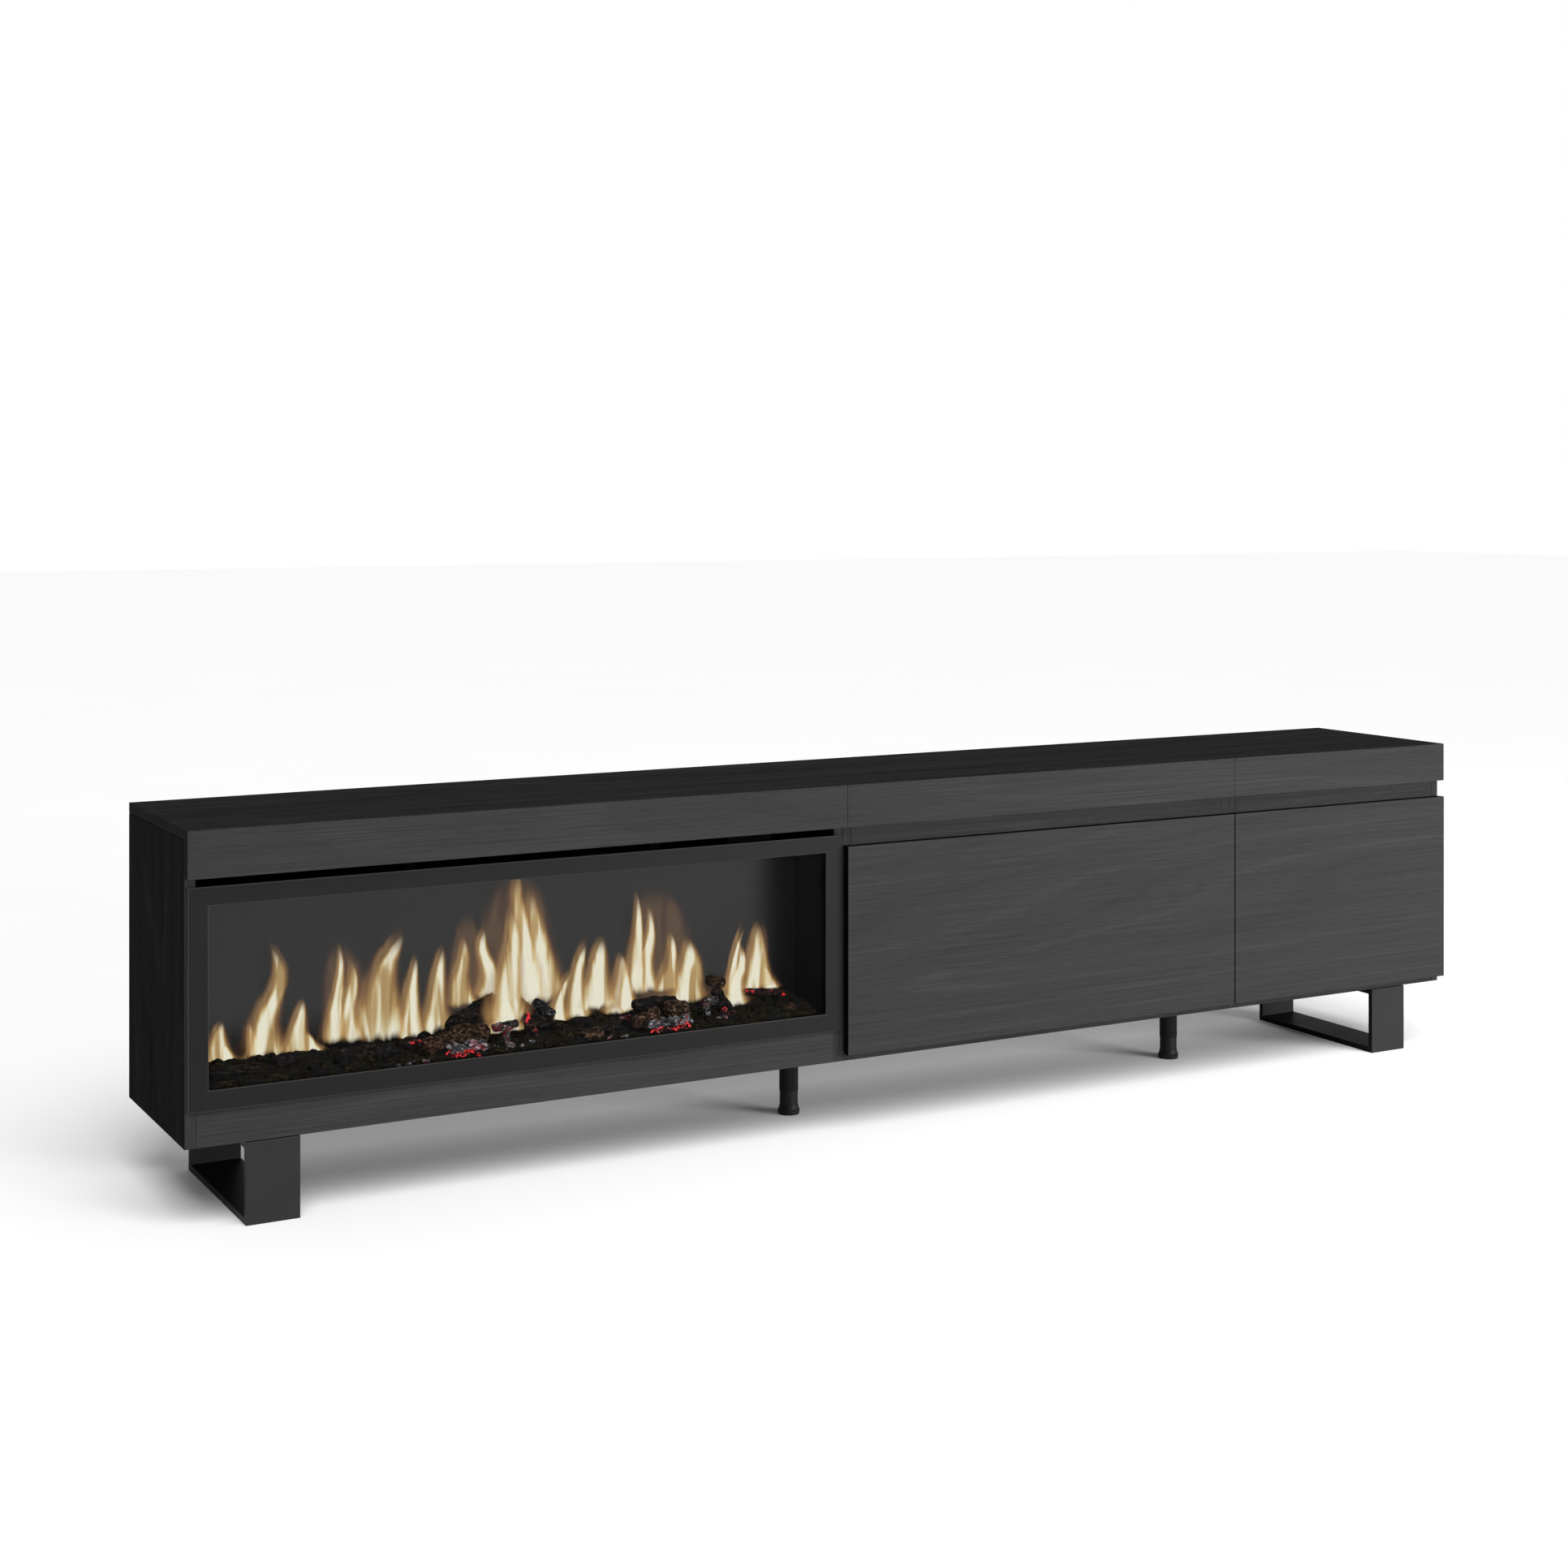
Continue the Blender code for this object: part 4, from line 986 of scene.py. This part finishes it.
def crossScrew(radius):  # a domed head with a cross in it, facing up, its base just under the origin
    piece = rod("screw_pattern", screwHead["sides"], radius, radius * screwHead["thick"],
                (0, 0, radius * screwHead["middle"]))
    pick(piece, lambda centre, normal: normal.z > 0.9)
    for inward, rise in (screwHead["shoulder"], screwHead["crown"]):
        bpy.ops.mesh.inset(thickness=radius * inward)
        bpy.ops.transform.translate(value=(0, 0, radius * rise))
    crown = max(point.co.z for point in piece.data.vertices)
    turn = 2 * math.pi / screwHead["sides"]
    above, within = (radius * share for share in screwHead["dome"])

    def offArm(point):
        step = round(math.atan2(point.y, point.x) / turn)
        return abs(point.z) > above and point.xy.length < within and step % 4 != 0

    pick(piece, offArm, "VERT")
    pinch = screwHead["pinch"]
    bpy.ops.transform.resize(value=(pinch, pinch, 1), center_override=(0, 0, crown))
    pick(piece, lambda centre, normal: normal.z > 0.9 and centre.xy.length < radius * 0.1)
    bpy.ops.mesh.extrude_region_move(TRANSFORM_OT_translate={"value": (0, 0, -radius * screwHead["deep"])})
    bpy.ops.object.mode_set(mode="OBJECT")
    return piece


screwPattern = crossScrew(screwHead["radius"])


def screws(name, places, way, body, finish="plated_steel", size=1.0):
    heads = []
    for number, place in enumerate(places):
        head = copyOf(screwPattern, name + "_copy")
        head.rotation_euler = turns[way]
        head.rotation_euler.rotate_axis("Z", number * 0.7)
        head.location, head.scale = place, (size, size, size)
        heads.append(head)
    return finished(joined(heads, name), body, finishes[finish], (), 30)


def blank(name, low, high, thin, corner, soften=0.0004):
    # a plate with rounded corners, thin along one axis
    low, high = Vector(low), Vector(high)
    clearSelection()
    bpy.ops.mesh.primitive_cube_add(size=1, location=(low + high) / 2, scale=high - low)
    piece = added(name)
    bpy.ops.object.transform_apply(location=True, rotation=True, scale=True)
    pick(piece, lambda first, second: abs((first - second)[thin]) > 0.00001, "EDGE")
    bpy.ops.mesh.bevel(offset=corner, segments=5)
    bpy.ops.object.mode_set(mode="OBJECT")
    if soften:
        applied(piece, "BEVEL", width=soften, segments=2)
    return piece


# back sheets: a row of screws round each, and the cable hole's sleeve
sheetScrews = {"gap": 0.14, "edge": 0.009}

for module in ("fire", "flap", "door"):
    low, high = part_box(module + "_module_back")
    inset, gap = sheetScrews["edge"], sheetScrews["gap"]
    across = max(2, round((high.x - low.x - 2 * inset) / gap))
    upward = max(2, round((high.z - low.z - 2 * inset) / gap))
    places = []
    for step in range(across + 1):
        x = low.x + inset + (high.x - low.x - 2 * inset) * step / across
        places += [(x, high.y, low.z + inset), (x, high.y, high.z - inset)]
    for step in range(1, upward):
        z = low.z + inset + (high.z - low.z - 2 * inset) * step / upward
        places += [(low.x + inset, high.y, z), (high.x - inset, high.y, z)]
    screws(module + "_back_screws", places, "back", "cabinet")

cutOut = {
    "middle": (0.285, 0.191),  # of the hole in the middle module's sheet, across and up
    "collar": (0.0984, 0.0484),
    "corner": 0.008,
    "wall": 0.002,
    "inside": 0.003,  # how far the collar reaches inwards past the sheet
    "proud": 0.001,
    "lip": 0.005,
    "lipThick": 0.0022,
    "edge": 0.0005,
}


def grommet():  # a collar through the sheet and a flat lip outside it
    sheetLow, sheetHigh = (corner.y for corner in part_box("flap_module_back"))
    (x, z), (wide, tall) = cutOut["middle"], cutOut["collar"]
    rings = []
    for grown, start, stop in (
        (0, sheetLow - cutOut["inside"], sheetHigh + cutOut["proud"]),
        (cutOut["lip"], sheetHigh, sheetHigh + cutOut["lipThick"]),
    ):
        low = (x - wide / 2 - grown, start, z - tall / 2 - grown)
        high = (x + wide / 2 + grown, stop, z + tall / 2 + grown)
        ring = blank("grommet_part", low, high, 1, cutOut["corner"], 0)
        pick(ring, lambda centre, normal: abs(normal.y) > 0.9)
        bpy.ops.mesh.delete(type="FACE")
        bpy.ops.object.mode_set(mode="OBJECT")
        applied(ring, "SOLIDIFY", thickness=cutOut["wall"] + grown, offset=-1)
        applied(ring, "BEVEL", width=cutOut["edge"], segments=2, limit_method="ANGLE")
        rings.append(ring)
    sleeve = joined(rings, "cable_grommet")
    return finished(sleeve, "cabinet", finishes["black_plastic"])


grommet()

# hinges: a leaf on the moving panel, screws in both leaves
hinge = {
    "leaf": (0.030, 0.0014, 0.038),  # away from the knuckle, thin, along the hinge
    "corner": 0.004,
    "sunk": 0.0001,
    "off": 0.0045,  # from the knuckle to the leaf
    "rows": (0.007, 0.023),
    "pairs": (-0.012, 0.012),
    "armRows": (-0.146, -0.128),
}
leafWide, leafThin, leafTall = hinge["leaf"]

for name in ("door_hinge_lower", "door_hinge_upper"):
    low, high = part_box(name)
    middle, inner = (low.z + high.z) / 2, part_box("door")[1].y
    right = low.x - hinge["off"]
    leaf = blank(name + "_leaf", (right - leafWide, inner - hinge["sunk"], middle - leafTall / 2),
                 (right, inner + leafThin, middle + leafTall / 2), 1, hinge["corner"])
    finished(leaf, "door", finishes["plated_steel"])
    places = [(right - x, inner + leafThin, middle + z) for x in hinge["rows"] for z in hinge["pairs"]]
    screws(name + "_leaf_screws", places, "back", "door")
    places = [(low.x, y, middle + z) for y in hinge["armRows"] for z in hinge["pairs"]]
    screws(name + "_screws", places, "left", "cabinet")
for name in ("flap_hinge_left", "flap_hinge_right"):
    low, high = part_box(name)
    middle, inner = (low.x + high.x) / 2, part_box("flap")[1].y
    base = high.z + hinge["off"]
    leaf = blank(name + "_leaf", (middle - leafTall / 2, inner - hinge["sunk"], base),
                 (middle + leafTall / 2, inner + leafThin, base + leafWide), 1, hinge["corner"])
    finished(leaf, "flap", finishes["plated_steel"])
    places = [(middle + x, inner + leafThin, base + z) for x in hinge["pairs"] for z in hinge["rows"]]
    screws(name + "_leaf_screws", places, "back", "flap")

# rubber pads that the closed panels rest on, on the front of the rails
closingPad = {
    "radius": 0.004,
    "thick": 0.0007,
    "dome": 0.2,  # rim and rise, as shares of the radius and the thickness
    "across": (-0.0915, 0.6615, 0.7185, 1.1715),
    "height": 0.4665,
}
padThick = closingPad["thick"]
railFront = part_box("door_module_rail")[0].y
pads = []
for x in closingPad["across"]:
    place = (x, railFront - padThick / 2, closingPad["height"])
    pad = rod("pad", 24, closingPad["radius"], padThick, place, (math.pi / 2, 0, 0))
    pick(pad, lambda centre, normal: normal.y < -0.9)
    bpy.ops.mesh.inset(thickness=closingPad["radius"] * closingPad["dome"])
    bpy.ops.transform.translate(value=(0, -padThick * closingPad["dome"], 0))
    bpy.ops.object.mode_set(mode="OBJECT")
    pads.append(pad)
finished(joined(pads, "closing_pads"), "cabinet", finishes["black_plastic"])

# shelf pins: a peg and a flat paddle that the shelf lies on
shelfPin = {
    "inset": 0.03,  # from the shelf's front and back
    "paddle": (0.012, 0.005, 0.0018),  # length, half width, thickness
    "corner": 0.0035,
    "peg": (0.0025, 0.008),
    "pegMiddle": (0.004, 0.0038),  # out from the side panel, and down from the shelf
    "rim": 0.0006,
    "crown": 1.1,
}
shelfLow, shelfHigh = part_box("door_module_shelf")
long, half, thin = shelfPin["paddle"]
pegRadius, pegLong = shelfPin["peg"]
outward, downward = shelfPin["pegMiddle"]
pegs = []
for x, way in ((shelfLow.x, 1), (shelfHigh.x, -1)):
    for y in (shelfLow.y + shelfPin["inset"], shelfHigh.y - shelfPin["inset"]):
        start, stop = sorted((x, x + way * long))
        pegs.append(blank("peg", (start, y - half, shelfLow.z - thin), (stop, y + half, shelfLow.z), 2,
                          shelfPin["corner"]))
        place = (x + way * outward, y, shelfLow.z - downward)
        peg = rod("peg", 20, pegRadius, pegLong, place, (0, math.pi / 2, 0))
        pick(peg, lambda centre, normal: abs(normal.x) > 0.9)
        bpy.ops.mesh.inset(thickness=shelfPin["rim"])
        bpy.ops.transform.resize(value=(shelfPin["crown"], 1, 1))
        bpy.ops.object.mode_set(mode="OBJECT")
        pegs.append(peg)
finished(joined(pegs, "shelf_pins"), "cabinet", finishes["plated_steel"])


# the gripping ribs round each foot that screws down
gripShape = {
    "ribs": 36,
    "radius": 0.0184,
    "tall": 0.006,
    "groove": 0.955,
    "rim": 0.0008,
    "crown": 1.12,
    "height": 0.0055,
}


def gripRing(name, node, body):
    low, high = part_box(node)
    middle, ribs = (low + high) / 2, gripShape["ribs"]
    piece = rod(name, 2 * ribs, gripShape["radius"], gripShape["tall"])
    pick(piece, lambda point: round(math.atan2(point.y, point.x) * ribs / math.pi) % 2 == 1, "VERT")
    bpy.ops.transform.resize(value=(gripShape["groove"], gripShape["groove"], 1), center_override=(0, 0, 0))
    pick(piece, lambda centre, normal: abs(normal.z) > 0.9)
    bpy.ops.mesh.inset(thickness=gripShape["rim"])
    bpy.ops.transform.resize(value=(1, 1, gripShape["crown"]), center_override=(0, 0, 0))
    bpy.ops.object.mode_set(mode="OBJECT")
    piece.location = (middle.x, middle.y, gripShape["height"])
    return finished(piece, body, finishes["black_plastic"], (), 20)


gripRing("leveller_left_grip", "leveller_left", "left_leveller")
gripRing("leveller_right_grip", "leveller_right", "right_leveller")

# fixing screws of the sled legs, seen from below, and of the service plate at the back
legScrews = {"across": (-0.022, 0.022), "along": (-0.12, -0.04, 0.04, 0.12), "plate": 0.010, "size": 1.3}
serviceScrews = {"across": (-0.392, -0.209), "upward": (0.192, 0.241, 0.290)}

for name in ("sled_leg_left", "sled_leg_right"):
    low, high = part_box(name)
    middle, under = (low.x + high.x) / 2, high.z - legScrews["plate"]
    places = [(middle + x, y, under) for x in legScrews["across"] for y in legScrews["along"]]
    screws(name + "_screws", places, "down", "cabinet", "plated_steel", legScrews["size"])
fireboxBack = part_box("firebox")[1].y
places = [(x, fireboxBack, z) for x in serviceScrews["across"] for z in serviceScrews["upward"]]
screws("service_screws", places, "back", "cabinet")
bpy.data.objects.remove(screwPattern)
print("screws and fittings placed")
